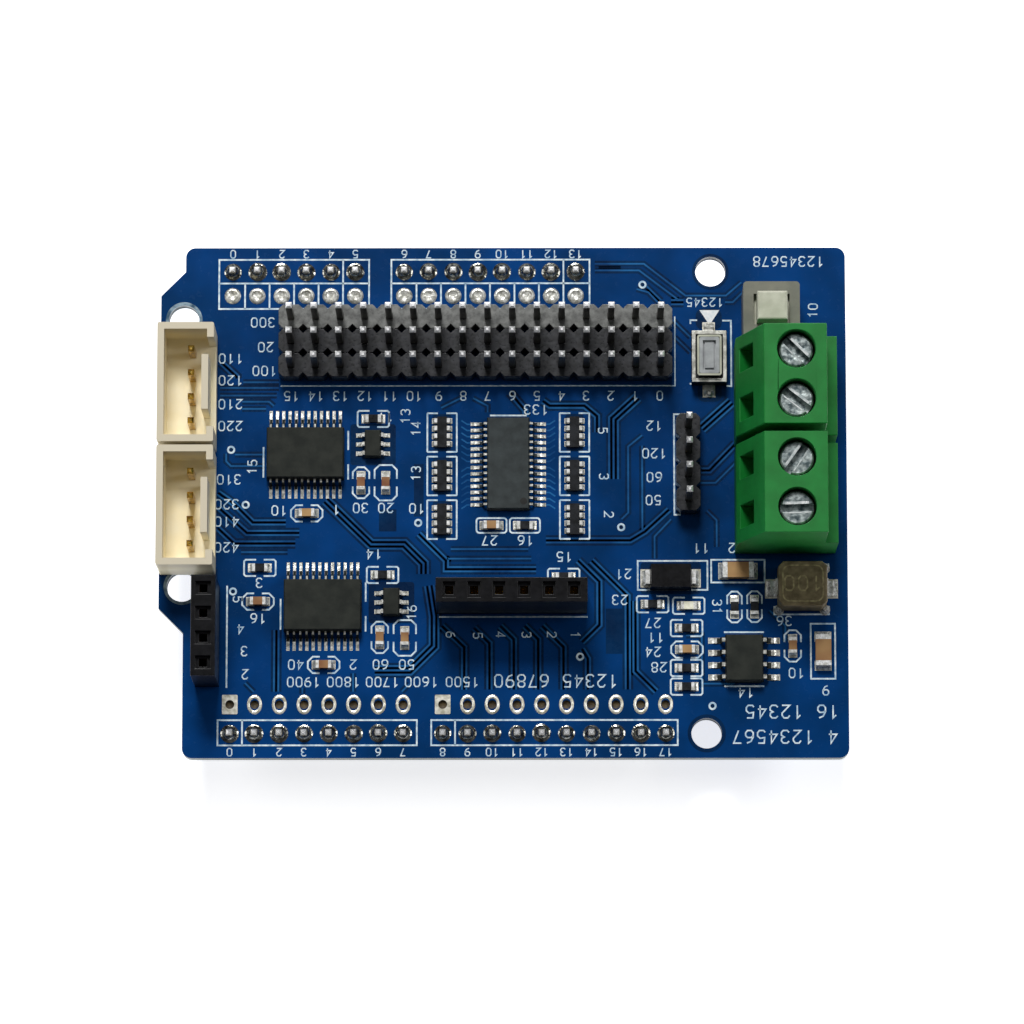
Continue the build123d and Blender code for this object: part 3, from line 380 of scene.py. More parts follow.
# pieces are drawn in millimetres and brought to metres here
def newPiece(name, mesh, finish, body="root"):
    data = bpy.data.meshes.new(name)
    bmesh.ops.recalc_face_normals(mesh, faces=mesh.faces)
    mesh.transform(Matrix.Scale(mm, 4))
    mesh.to_mesh(data)
    mesh.free()
    piece = bpy.data.objects.new(name, data)
    bpy.context.scene.collection.objects.link(piece)
    data.materials.append(made[finish])
    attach(piece, body)
    return piece


# revolves a list of (radius, height) round an upright axis
def turned(mesh, x, y, z, profile, segments=20, stretch=1.0, closed=False):
    loops = []
    for radius, height in profile:
        if radius < 1e-4:
            loops.append([mesh.verts.new((x, y, z + height))])
            continue
        angles = [2 * math.pi * i / segments for i in range(segments)]
        loops.append([
            mesh.verts.new((x + radius * math.cos(a), y + stretch * radius * math.sin(a), z + height))
            for a in angles
        ])
    pairs = list(zip(loops, loops[1:]))
    if closed:
        pairs.append((loops[-1], loops[0]))
    for a, b in pairs:
        for i in range(segments):
            j = (i + 1) % segments
            if len(a) == 1:
                mesh.faces.new((a[0], b[i], b[j]))
            elif len(b) == 1:
                mesh.faces.new((a[i], b[0], a[j]))
            else:
                mesh.faces.new((a[i], b[i], b[j], a[j]))


# joins two rings of points by their sides and closes both ends
def loftPair(mesh, first, second):
    a = [mesh.verts.new(p) for p in first]
    b = [mesh.verts.new(p) for p in second]
    mesh.faces.new(a)
    mesh.faces.new(list(reversed(b)))
    for i in range(len(a)):
        j = (i + 1) % len(a)
        mesh.faces.new((a[i], b[i], b[j], a[j]))


def prism(mesh, outline, low, high):
    loftPair(mesh, [(x, y, low) for x, y in outline], [(x, y, high) for x, y in outline])


# a profile of (distance, height) laid on the board along a direction and pulled to a width
def wedge(mesh, x, y, direction, width, profile):
    ends = []
    for side in (-width / 2, width / 2):
        ends.append([(
            x + direction[0] * far - direction[1] * side,
            y + direction[1] * far + direction[0] * side,
            boardTop + up,
        ) for far, up in profile])
    loftPair(mesh, ends[0], ends[1])


def roundedOutline(x, y, length, width, radius, steps=4):
    points = []
    for cornerX, cornerY, start in ((1, 1, 0), (-1, 1, 90), (-1, -1, 180), (1, -1, 270)):
        for step in range(steps + 1):
            angle = math.radians(start + 90 * step / steps)
            points.append((
                x + cornerX * (length / 2 - radius) + radius * math.cos(angle),
                y + cornerY * (width / 2 - radius) + radius * math.sin(angle),
            ))
    return points


# the line parallel to a given line, at a distance to its left
def parallelLine(points, distance, closed=False):
    points = [Vector(p) for p in points]
    count = len(points)
    moved = []
    for i in range(count):
        before = points[i] - points[i - 1] if i or closed else points[1] - points[0]
        after = points[(i + 1) % count] - points[i] if i < count - 1 or closed else before
        before, after = before.normalized(), after.normalized()
        normal = Vector((-before.y - after.y, before.x + after.x))
        if normal.length < 1e-6:
            normal = Vector((-after.y, after.x))
        normal.normalize()
        slant = max(0.4, normal.dot(Vector((-after.y, after.x))))      # the limit keeps sharp corners short
        moved.append(points[i] + normal * (distance / slant))
    return moved


# a flat band of even width along a line, with mitred corners
def band(mesh, points, width, low, high, closed=False):
    left = parallelLine(points, width / 2, closed)
    right = parallelLine(points, -width / 2, closed)
    sides = [
        [mesh.verts.new((p.x, p.y, z)) for z in (low, high) for p in pair] for pair in zip(left, right)
    ]
    count = len(sides)
    for i in range(count if closed else count - 1):
        a, b = sides[i], sides[(i + 1) % count]
        mesh.faces.new((a[2], a[3], b[3], b[2]))
        mesh.faces.new((a[1], a[0], b[0], b[1]))
        mesh.faces.new((a[0], a[2], b[2], b[0]))
        mesh.faces.new((a[3], a[1], b[1], b[3]))
    if not closed:
        for end in (sides[0], sides[-1]):
            mesh.faces.new((end[0], end[1], end[3], end[2]))


# lowest and highest corner, in mm, of each separate solid in a CAD node
def solidsOf(node):
    copy = bmesh.new()
    copy.from_mesh(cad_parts[node].data)
    bmesh.ops.remove_doubles(copy, verts=copy.verts, dist=1e-7)
    seen, boxes = set(), []
    for vert in copy.verts:
        if vert in seen:
            continue
        stack, island = [vert], []
        seen.add(vert)
        while stack:
            current = stack.pop()
            island.append(current.co / mm)
            for edge in current.link_edges:
                other = edge.other_vert(current)
                if other not in seen:
                    seen.add(other)
                    stack.append(other)
        low = Vector([min(p[k] for p in island) for k in range(3)])
        high = Vector([max(p[k] for p in island) for k in range(3)])
        boxes.append((low, high))
    copy.free()
    return boxes


def centresOf(node):
    return sorted([((low + high) / 2) for low, high in solidsOf(node)], key=lambda p: (round(p.y, 3), p.x))


# rounds the sharp edges of a moulded part, so that they catch the light
def soften(node, width):
    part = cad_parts[node]
    weld = part.modifiers.new("weld", "WELD")
    weld.merge_threshold = 1e-6
    bevel = part.modifiers.new("edges", "BEVEL")
    bevel.width = width * mm
    bevel.segments = 2
    bevel.limit_method = "ANGLE"
    bevel.angle_limit = math.radians(35)        # sharper turns than this are edges
    bevel.harden_normals = True


cameraSettings = {
    "place": (0.0033, -0.10343, 0.62754), "turn": (0.1642, 0.0039, -0.0002), "lens": 213.4, "sensor": 36.0,
    "nearest": 0.01,
}
camera = bpy.data.objects.new("camera", bpy.data.cameras.new("camera"))
bpy.context.scene.collection.objects.link(camera)
camera.location = cameraSettings["place"]
camera.rotation_euler = cameraSettings["turn"]
camera.data.lens = cameraSettings["lens"]
camera.data.sensor_width = cameraSettings["sensor"]
camera.data.clip_start = cameraSettings["nearest"]
bpy.context.scene.camera = camera
bpy.context.scene.view_settings.view_transform = "Standard"

# the floor glows a little, so that it stays white between the lamps
floorSettings = {"size": 3.0, "colour": "#FFFFFF", "roughness": 0.9, "glow": 0.75}
floorMesh = bmesh.new()
bmesh.ops.create_grid(floorMesh, x_segments=1, y_segments=1, size=floorSettings["size"] / 2)
floorData = bpy.data.meshes.new("floor")
floorMesh.to_mesh(floorData)
floorMesh.free()
floor = bpy.data.objects.new("floor", floorData)
bpy.context.scene.collection.objects.link(floor)
floorMaterial = bpy.data.materials.new("paleFloor")
floorMaterial.use_nodes = True
floorShader = floorMaterial.node_tree.nodes["Principled BSDF"]
floorShader.inputs["Base Color"].default_value = linearColour(floorSettings["colour"])
floorShader.inputs["Roughness"].default_value = floorSettings["roughness"]
floorShader.inputs["Specular IOR Level"].default_value = 0.0
floorShader.inputs["Emission Color"].default_value = linearColour(floorSettings["colour"])
floorShader.inputs["Emission Strength"].default_value = floorSettings["glow"]
floorData.materials.append(floorMaterial)

studioSettings = {"colour": "#E4EAF2", "strength": 0.1}
world = bpy.data.worlds.new("studio")
bpy.context.scene.world = world
world.use_nodes = True
surround = world.node_tree.nodes["Background"]
surround.inputs["Color"].default_value = linearColour(studioSettings["colour"])
surround.inputs["Strength"].default_value = studioSettings["strength"]

# the key lamp stands behind the board's far edge, clear of the direction that the flat board mirrors
lamps = {
    "keyLamp": {"place": (-0.08, 0.6, 0.82), "size": 0.28, "power": 8.2},
    "leftLamp": {"place": (-0.62, 0.12, 0.68), "size": 0.3, "power": 0.9},
    "rightLamp": {"place": (0.62, 0.14, 0.68), "size": 0.3, "power": 1.6},
}
for name, lamp in lamps.items():
    light = bpy.data.lights.new(name, "AREA")
    light.shape = "SQUARE"
    light.size = lamp["size"]
    light.energy = lamp["power"]
    holder = bpy.data.objects.new(name, light)
    holder.location = lamp["place"]
    holder.rotation_euler = Vector(lamp["place"]).to_track_quat("Z", "Y").to_euler()
    bpy.context.scene.collection.objects.link(holder)
print("stage set")

# width in mm of the rounding on each moulded part
softEdges = {
    "terminal_block_1": 0.12, "terminal_block_2": 0.12, "motor_connector_1": 0.08, "motor_connector_2": 0.08,
    "serial_socket": 0.07, "receiver_socket": 0.07, "power_switch_body": 0.1, "reset_switch_frame": 0.05,
    "motor_driver_1": 0.06, "motor_driver_2": 0.06, "pwm_chip": 0.06, "regulator": 0.06, "small_chips": 0.05,
    "servo_signal_strip": 0.06, "servo_supply_strip": 0.06, "servo_ground_strip": 0.06,
    "voltage_header_strip": 0.06, "upper_shield_header_strips": 0.06, "lower_shield_header_strips": 0.06,
}
for node, width in softEdges.items():
    soften(node, width)
print("edges softened")


# copper tracks under the mask: routes in mm with how many lines run side by side and how far apart
# a strip of bare laminate, which shows darker, runs along each side of a track
trackSettings = {
    "width": 0.17, "height": 0.012, "step": 0.46, "marginStep": 0.2, "marginWidth": 0.24, "marginHeight": 0.006,
}
routes = (
    (((9.5, 24.97), (14.6, 24.97), (18.9, 21.6), (23.1, 21.6), (24.7, 23.0)), 1),
    (((9.5, 24.27), (14.1, 24.27), (18.1, 21.2)), 1),
    (((23.0, 20.9), (23.8, 20.9), (24.8, 21.9)), 1),
    (((17.4, 20.9), (18.7, 20.9)), 2),
    (((13.85, 22.3), (15.05, 21.95), (16.6, 20.3)), 1),
    (((14.9, 22.6), (16.4, 21.1)), 1),
    (((17.6, 19.0), (19.4, 17.2)), 1),
    (((17.8, 17.2), (19.4, 15.6)), 1),
    (((20.5, 7.6), (23.6, 10.4)), 3),
    (((20.4, 3.2), (21.3, 3.2), (24.0, 6.0)), 2),
    (((20.4, 1.9), (21.9, 1.9), (24.0, 4.0)), 1),
    (((-26.9, 12.5), (-23.2, 12.5)), 1),
    (((-29.3, 11.9), (-23.2, 11.9)), 1),
    (((-29.3, 11.1), (-23.4, 11.1)), 1),
    (((-27.0, 10.45), (-24.2, 10.45), (-23.7, 10.0)), 1),
    (((-27.0, 9.7), (-24.5, 9.7)), 1),
    (((-29.2, 14.6), (-27.6, 13.1), (-27.6, 12.9)), 2),
    (((-24.6, 4.9), (-27.7, 4.9)), 1),
    (((-24.6, 3.7), (-28.1, 3.7), (-28.6, 4.2), (-28.6, 5.0)), 1),
    (((-29.4, 0.9), (-27.7, -0.3), (-25.8, -2.2), (-22.4, -2.2)), 2),
    (((-29.4, -0.6), (-26.4, -3.3), (-21.0, -3.3)), 2),
    (((-29.4, -2.8), (-27.7, -4.4), (-21.4, -4.4)), 2),
    (((-27.0, -5.3), (-22.2, -5.3)), 1),
    (((-18.3, 0.1), (-13.6, -4.5), (-10.2, -4.5), (-8.2, -6.5), (-8.2, -7.6)), 3),
    (((-8.7, -3.4), (-5.9, -6.2), (-5.9, -7.1), (3.4, -7.1)), 2),
    (((-5.4, -5.0), (2.6, -5.0)), 1),
    (((-5.8, -6.0), (2.9, -6.0)), 1),
    (((4.4, -4.1), (13.1, -4.1), (14.6, -3.2), (17.1, -0.9)), 2),
    (((17.3, -1.9), (15.6, -3.7), (15.6, -6.0)), 1),
    (((13.9, 10.9), (11.4, 8.6), (11.4, 2.3)), 3),
    (((14.35, 6.9), (12.9, 5.7), (12.9, -1.2), (12.2, -1.9)), 1),
    (((14.35, 5.8), (14.35, -3.0)), 1),
    (((0.7, 11.4), (2.3, 9.5), (2.3, 8.9)), 2),
    (((4.1, 10.5), (4.8, 10.0), (8.4, 10.0), (9.7, 8.9), (9.7, 7.2)), 2),
    (((-6.4, 9.8), (-4.2, 10.9)), 1),
    (((-3.1, 10.8), (-1.6, 10.0), (-1.6, 9.3)), 1),
    (((7.7, -6.2), (9.9, -8.4), (9.9, -12.9), (8.1, -14.7)), 2),
    (((9.1, -6.2), (12.8, -9.9), (12.8, -19.6)), 2),
    (((13.6, -10.4), (13.6, -17.7), (15.7, -19.8)), 2),
    (((-6.3, -13.0), (-4.0, -15.2), (-4.0, -19.6)), 2),
    (((-3.0, -13.2), (-1.4, -14.8), (-1.4, -19.6)), 2),
    (((-0.3, -13.0), (1.1, -14.4), (1.1, -19.6)), 2),
    (((2.2, -13.0), (3.6, -14.4), (3.6, -19.6)), 2),
    (((4.0, -13.0), (6.2, -15.2), (6.2, -19.6)), 2),
    (((8.1, -15.4), (8.7, -16.4), (8.7, -19.6)), 2),
    (((-7.6, -8.8), (-7.1, -12.0), (-7.1, -15.1), (-9.6, -17.6), (-13.2, -17.6)), 3),
    (((-23.3, -13.4), (-23.3, -19.8)), 2),
    (((-26.5, -18.9), (-25.6, -19.8)), 1),
    (((-15.4, -17.9), (-15.4, -19.8)), 1),
    (((-20.6, -19.4), (-20.6, -20.0)), 1),
    (((-9.6, -19.0), (-10.4, -19.8)), 1),
    (((18.8, -14.0), (20.4, -14.0), (20.4, -19.0), (23.6, -19.0), (24.6, -18.2)), 1),
    (((27.4, -11.4), (29.0, -13.0), (29.0, -14.6)), 1),
    (((22.0, -4.8), (22.0, -2.0), (21.0, -1.0)), 1),
)
tracks = bmesh.new()
margins = bmesh.new()
trackTop, marginTop = boardTop + trackSettings["height"], boardTop + trackSettings["marginHeight"]
for points, count in routes:
    for line in range(count):
        path = parallelLine(points, (line - (count - 1) / 2) * trackSettings["step"])
        band(tracks, path, trackSettings["width"], boardTop - seat, trackTop)
        for side in (1, -1):
            edge = parallelLine(path, side * trackSettings["marginStep"])
            band(margins, edge, trackSettings["marginWidth"], boardTop - seat, marginTop)
newPiece("copper_tracks", tracks, "maskOverCopper")
newPiece("track_margins", margins, "maskOverLaminate")

# short tracks that fan out from the leads of the controller chip
fanSettings = {"start": 0.7, "straight": 0.35, "length": 0.95, "drift": 0.4, "width": 0.15}
fans = bmesh.new()
pwmLow, pwmHigh = boxOf("pwm_chip_leads")
pwmMiddle = (pwmLow + pwmHigh) / 2
for low, high in solidsOf("pwm_chip_leads"):
    y = (low.y + high.y) / 2
    side = 1 if low.x > pwmMiddle.x else -1
    start = high.x + fanSettings["start"] if side > 0 else low.x - fanSettings["start"]
    drift = fanSettings["drift"] if y > pwmMiddle.y else -fanSettings["drift"]
    bends = [
        (start, y), (start + side * fanSettings["straight"], y), (start + side * fanSettings["length"], y + drift),
    ]
    band(fans, bends, fanSettings["width"], boardTop - seat, trackTop)
newPiece("lead_tracks", fans, "maskOverCopper")

# bare laminate shows darker between the copper areas
# lines of (start, end, width), and for some parts how much the bare place is larger than the part
gaps = bmesh.new()
clearances = (
    ((-8.7, 3.9), (-8.7, -1.6), 1.0), ((-30.2, -7.0), (-30.2, -18.8), 1.6), ((11.4, -11.2), (11.4, -15.9), 1.7),
    ((9.9, 24.6), (12.2, 24.6), 0.3), ((-12.8, -2.0), (-11.0, -2.0), 2.3),
)
clearParts = {"small_chips": (3.0, 1.4), "diode": (1.9, 0.7), "resistor_arrays": (0.9, 0.7)}
clearSettings = {"height": 0.006, "partHeight": 0.005, "corner": 0.3}
for start, end, width in clearances:
    band(gaps, [start, end], width, boardTop - seat, boardTop + clearSettings["height"])
for node, (extraLength, extraWidth) in clearParts.items():
    for low, high in solidsOf(node):
        centre = (low + high) / 2
        length, width = high.x - low.x + extraLength, high.y - low.y + extraWidth
        outline = roundedOutline(centre.x, centre.y, length, width, clearSettings["corner"])
        prism(gaps, outline, boardTop - seat, boardTop + clearSettings["partHeight"])
newPiece("bare_clearances", gaps, "maskOverLaminate")

# plated through holes: rings of tin round a dark hole
viaSettings = {"outer": 0.42, "inner": 0.22, "height": 0.03, "plugHeight": 0.006, "sunk": 0.02}
viaSpots = (
    (-26.56, -0.36), (21.47, -21.31), (14.45, 22.76), (12.16, -2.73), (-8.76, -2.26), (-28.1, 5.4),
    (-27.8, -9.4), (7.9, -16.2), (-21.6, 19.6),
)
viaInner, viaOuter, viaSunk = viaSettings["inner"], viaSettings["outer"], -viaSettings["sunk"]
viaRing = [
    (viaInner, viaSunk), (viaInner, viaSettings["height"]), (viaOuter, viaSettings["height"]), (viaOuter, viaSunk),
]
viaPlug = [
    (0.0, viaSettings["plugHeight"]), (viaInner, viaSettings["plugHeight"]), (viaInner, viaSunk), (0.0, viaSunk),
]
vias = bmesh.new()
viaPlugs = bmesh.new()
for x, y in viaSpots:
    turned(vias, x, y, boardTop, viaRing, closed=True)
    turned(viaPlugs, x, y, boardTop, viaPlug)
newPiece("via_rings", vias, "screenPrintedInk")
newPiece("via_plugs", viaPlugs, "maskOverLaminate")

# rings round the mounting holes, on both faces: (x, y, outer radius)
holeSettings = {"inner": 1.57, "depth": 0.4, "height": 0.03, "segments": 48}
holeSpots = {
    "left_hole_rings": ("wornHolePlating", "tinned_lead", ((-33.06, 19.05, 1.9), (-33.06, -8.89, 1.9))),
    "right_hole_rings": ("maskOverLaminate", "board_laminate", ((21.49, 24.13, 1.88), (20.86, -24.13, 1.95))),
}
for name, (finish, slot, spots) in holeSpots.items():
    holeRings = bmesh.new()
    inner, depth, height = (holeSettings[key] for key in ("inner", "depth", "height"))
    for x, y, outer in spots:
        for level, away in ((boardTop, 1), (boardUnder, -1)):
            heights = ((inner, -depth), (inner, height), (outer, height), (outer, -seat))
            profile = [(radius, up * away) for radius, up in heights]
            turned(holeRings, x, y, level, profile, segments=holeSettings["segments"], closed=True)
    newPiece(name, holeRings, finish)
print("tracks, vias and rings")


# the two header rows, and the spare rows further in
padSettings = {
    "coneRadius": 0.98, "coneHeight": 0.75, "coneTop": 0.4, "wander": 0.04, "spareHole": 0.46,
    "spareStretch": 1.32, "upperSpareIn": 2.54, "lowerSpareIn": 3.0,
}
shieldRows = {
    "upper": [(p.x, p.y) for p in centresOf("upper_shield_header_pins")],
    "lower": [(p.x, p.y) for p in centresOf("lower_shield_header_pins")],
}
groupGap = {"upper": -12, "lower": -8}      # X of the gap between the two groups of a row
upperSpare = [(x, y - padSettings["upperSpareIn"]) for x, y in shieldRows["upper"]]
lowerSpare = [(x, y + padSettings["lowerSpareIn"]) for x, y in shieldRows["lower"]]
foot = 0.03         # height of the straight rim under a cone or a ring of solder


# a solder cone round a pin; away is 1 on the upper face and -1 under the board
def solderCone(mesh, x, y, z, radius, height, topRadius, away=1):
    profile = [(radius, -seat * away), (radius, foot * away)]
    for step in range(1, 6):
        share = math.radians(18 * step)     # five steps of a quarter circle
        climb = height * (1 - math.cos(share)) ** 0.8
        profile.append((radius + (topRadius - radius) * math.sin(share), away * (foot + climb)))
    profile.append((0.0, away * (foot + height)))
    turned(mesh, x, y, z, profile)


cones = bmesh.new()
wander = padSettings["wander"]
for x, y in shieldRows["upper"] + shieldRows["lower"]:
    luck = random.Random(round(x * 100) + round(y))
    solderCone(
        cones, x + luck.uniform(-wander, wander), y + luck.uniform(-wander, wander), boardTop,
        padSettings["coneRadius"] * luck.uniform(0.88, 1.0), padSettings["coneHeight"] * luck.uniform(0.7, 1.1),
        padSettings["coneTop"],
    )
newPiece("shield_header_solder", cones, "reflowedSolder")

# the upper spare pads are filled: a raised rim with a dimple in the middle
domes = bmesh.new()
for x, y in upperSpare:
    luck = random.Random(round(x * 100))
    rise = luck.uniform(0.85, 1.15)
    turned(domes, x, y, boardTop, [
        (0.86, -seat), (0.84, 0.06), (0.7, 0.2 * rise), (0.58, 0.22 * rise), (0.42, 0.12), (0.25, 0.06),
        (0.0, 0.05),
    ], segments=28)
newPiece("filled_spare_pads", domes, "meltedPaste")

# the lower spare pads are open: a square one starts each group and the rest are oval; a dark brown plug in each
# hole is painted shade, for the shaded space under the board seen through it
spares = bmesh.new()
holeShadePlugs = bmesh.new()
hole = padSettings["spareHole"]
ovalPad = [(hole, -0.1), (hole + 0.03, 0.04), (0.6, 0.08), (0.74, 0.04), (0.78, 0.0), (0.7, -0.1)]
squarePad = {"length": 1.6, "width": 2.0, "corner": 0.1, "height": 0.05, "depth": 0.1, "sunk": 0.02}
shadePlug = [(0.0, -0.35), (hole * 1.02, -0.3), (hole * 1.02, -0.7), (0.0, -0.7)]
firstOfGroups = (min(x for x, y in lowerSpare), min(x for x, y in lowerSpare if x > groupGap["lower"]))
for x, y in lowerSpare:
    if x in firstOfGroups:
        square = roundedOutline(x, y, squarePad["length"], squarePad["width"], squarePad["corner"], steps=5)
        count = len(square)
        around = [2 * math.pi * (i + 0.5) / count for i in range(count)]
        around = [(x + hole * math.cos(a), y + hole * math.sin(a)) for a in around]
        rows = []
        for points, z in (
            (around, -squarePad["depth"]), (around, squarePad["height"]), (square, squarePad["height"]),
            (square, -squarePad["sunk"]),
        ):
            rows.append([spares.verts.new((px, py, boardTop + z)) for px, py in points])
        for a, b in zip(rows, rows[1:]):
            for i in range(count):
                j = (i + 1) % count
                spares.faces.new((a[i], a[j], b[j], b[i]))
    else:
        turned(spares, x, y, boardTop, ovalPad, stretch=padSettings["spareStretch"], closed=True)
    turned(holeShadePlugs, x, y, boardTop, shadePlug)
newPiece("spare_pads", spares, "levelledTinPad")
newPiece("shade_plugs_in_spare_holes", holeShadePlugs, "paintedHoleShade")
print("header pads and solder")


def middleOf(boxes):
    return sum(((low + high) / 2 for low, high in boxes), Vector()) / len(boxes)


# which way a foot points from a middle, and the outer end of its box in that direction
def outward(low, high, middle, alongX):
    centre = (low + high) / 2
    if alongX:
        sign = 1 if centre.x > middle.x else -1
        return high.x if sign > 0 else low.x, centre.y, (sign, 0)
    sign = 1 if centre.y > middle.y else -1
    return centre.x, high.y if sign > 0 else low.y, (0, sign)


# a flat pad that starts behind the outer end and reaches past it
def flatPad(mesh, x, y, direction, width, behind, past):
    up = leadSettings["padHeight"]
    wedge(mesh, x, y, direction, width, [(-behind, -seat), (past, -seat), (past, up), (-behind, up)])


# pads under the chips' feet, with solder climbing the toes and a painted highlight at each shoulder: a thin bright
# plate where the bend catches the light
leadSettings = {
    "past": 0.68, "shortPast": 0.3, "padHeight": 0.035, "climb": 0.17, "toeShare": 0.9,
    "shoulderReach": (0.0, 0.34), "shoulderShare": 0.6, "shoulderRise": 0.012,
}
chipPads = bmesh.new()
toes = bmesh.new()
shoulders = bmesh.new()
# whether the leads point along X, and the width and length of their pads
chipLeads = {
    "motor_driver_leads_1": (False, 0.32, 1.25), "motor_driver_leads_2": (False, 0.32, 1.25),
    "pwm_chip_leads": (True, 0.36, 1.15), "regulator_leads": (True, 0.62, 1.3),
    "small_chip_leads": (True, 0.45, 0.75),
}
for node, (alongX, width, length) in chipLeads.items():
    leadBoxes = solidsOf(node)
    groups = [leadBoxes]
    past = leadSettings["past"]
    if node == "small_chip_leads":      # two chips, one on each side of the middle
        groups = [[b for b in leadBoxes if b[0].y > 0], [b for b in leadBoxes if b[0].y <= 0]]
        past = leadSettings["shortPast"]
    climb = leadSettings["climb"]
    toe = [
        (-0.25, 0.0), (past - 0.06, 0.0), (past - 0.08, 0.06), (past * 0.45, 0.08), (0.08, climb),
        (-0.22, climb + 0.02),
    ]
    for group in groups:
        middle = middleOf(group)
        for low, high in group:
            x, y, direction = outward(low, high, middle, alongX)
            flatPad(chipPads, x, y, direction, width, length - past, past)
            wedge(toes, x, y, direction, width * leadSettings["toeShare"], toe)
            # painted highlight: a thin bright plate on each lead where it leaves the body
            inner = (x - direction[0] * (high.x - low.x), y - direction[1] * (high.y - low.y))
            bend = [
                (inner[0] + direction[0] * reach, inner[1] + direction[1] * reach)
                for reach in leadSettings["shoulderReach"]
            ]
            band(
                shoulders, bend, width * leadSettings["shoulderShare"], high.z - seat,
                high.z + leadSettings["shoulderRise"],
            )
newPiece("lead_pads", chipPads, "levelledTinPad")
newPiece("lead_solder", toes, "meltedPaste")
newPiece("lead_shoulder_glints", shoulders, "meltedPaste")

# chip parts: a pad past each end cap and a fillet of solder up the cap
# a part that is longer and flatter than the two array limits is a resistor array, with caps on both long sides
capSettings = {
    "past": 0.42, "arrayPast": 0.24, "padMargin": 0.12, "filletShare": 0.94, "arrayLength": 2.9, "arrayHeight": 0.7,
}
partPads = bmesh.new()
fillets = bmesh.new()
chipParts = [
    box for node in ("resistors", "capacitors", "indicator_led", "resistor_arrays") for box in solidsOf(node)
]
for low, high in solidsOf("chip_end_caps"):
    centre = (low + high) / 2
    owner = min(chipParts, key=lambda box: ((box[0] + box[1]) / 2 - centre).length)
    ownerSize = owner[1] - owner[0]
    isArray = ownerSize.y > capSettings["arrayLength"] and ownerSize.z < capSettings["arrayHeight"]
    alongX = isArray or centre.x < owner[0].x or centre.x > owner[1].x
    x, y, direction = outward(low, high, middleOf([owner]), alongX)
    size = high - low
    width, length = (size.y, size.x) if alongX else (size.x, size.y)
    past = capSettings["arrayPast" if isArray else "past"]
    margin = capSettings["padMargin"]
    flatPad(partPads, x, y, direction, width + margin, length + margin, past)
    wedge(fillets, x, y, direction, width * capSettings["filletShare"], [
        (-0.02, 0.0), (past - 0.03, 0.0), (past - 0.05, 0.05), (past * 0.5, size.z * 0.22),
        (past * 0.2, size.z * 0.5), (-0.02, size.z * 0.8),
    ])

# the same for the tabs of the larger parts: pad width and reach of each
tabPads = {"inductor_clips": (2.0, 0.5), "diode_tabs": (1.9, 0.5), "reset_switch_tabs": (1.3, 0.55)}
tabSettings = {"behind": 0.9, "filletShare": 0.8}
for node, (width, past) in tabPads.items():
    boxes = solidsOf(node)
    middle = middleOf(boxes)
    for low, high in boxes:
        offset = (low + high) / 2 - middle
        x, y, direction = outward(low, high, middle, abs(offset.x) > abs(offset.y))
        flatPad(partPads, x, y, direction, width, tabSettings["behind"], past)
        wedge(fillets, x, y, direction, width * tabSettings["filletShare"], [
            (-0.1, 0.0), (past - 0.08, 0.0), (past - 0.1, 0.07), (past * 0.4, 0.2), (-0.02, 0.5), (-0.1, 0.5),
        ])
newPiece("part_pads", partPads, "levelledTinPad")
newPiece("part_solder", fillets, "meltedPaste")
print("chip pads and solder")

# under the board every pin that passes through has its cone; the spare rows have rings
underCones = {
    "pin": {"radius": 0.85, "height": 0.8, "topRadius": 0.4},
    "leg": {"radius": 0.62, "height": 0.8, "topRadius": 0.4},
    "post": {"radius": 1.15, "height": 1.0, "topRadius": 0.6}, "postIn": 0.25,
}
under = bmesh.new()
throughPins = (
    "servo_signal_pins", "servo_supply_pins", "servo_ground_pins", "voltage_header_pins", "motor_connector_pins_1",
    "motor_connector_pins_2", "serial_socket_contacts", "receiver_socket_contacts", "power_switch_legs",
)
for node in throughPins:
    cone = underCones["leg" if node == "power_switch_legs" else "pin"]
    for low, high in solidsOf(node):
        solderCone(under, (low.x + high.x) / 2, (low.y + high.y) / 2, boardUnder, **cone, away=-1)
for low, high in solidsOf("terminal_contacts"):
    x, y = high.x - underCones["postIn"], (low.y + high.y) / 2
    solderCone(under, x, y, boardUnder, **underCones["post"], away=-1)
newPiece("underside_solder", under, "reflowedSolder")

underRings = bmesh.new()
for x, y in upperSpare + lowerSpare:
    turned(underRings, x, y, boardUnder, [(hole, 0.1), (hole, -0.04), (0.78, -0.04), (0.8, 0.01)], closed=True)
newPiece("underside_rings", underRings, "levelledTinPad")

underTrackSettings = {"count": 8, "first": -24.0, "step": 5.2, "bend": 2.0, "width": 0.35, "rise": 0.012}
underTracks = bmesh.new()
for i in range(underTrackSettings["count"]):
    x = underTrackSettings["first"] + i * underTrackSettings["step"]
    bend = underTrackSettings["bend"] if i % 2 else -underTrackSettings["bend"]
    line = [(x, -19.6), (x, -9.0), (x + bend, -6.0), (x + bend, 4.0), (x + bend / 2, 5.5), (x + bend / 2, 10.6)]
    band(underTracks, line, underTrackSettings["width"], boardUnder - underTrackSettings["rise"], boardUnder + seat)
newPiece("underside_tracks", underTracks, "maskOverCopper")
print("underside")


# printed outlines and plain numbers; all numbers stand upside down, as if read from the far edge
silkSettings = {
    "line": 0.17, "fineLine": 0.13, "rise": 0.022, "arrowRise": 0.03, "digitStroke": 0.13, "digitGap": 0.34,
    "digitWidth": 0.6, "channelY": 11.05, "channelHeight": 0.92, "labelHeight": 0.95, "sideLabelHeight": 0.9,
}


def inkLine(mesh, points, closed=False, width=silkSettings["line"]):
    band(mesh, points, width, boardTop - seat, boardTop + silkSettings["rise"], closed=closed)


def inkBox(mesh, left, right, low, high):
    inkLine(mesh, [(left, low), (right, low), (right, high), (left, high)], closed=True)


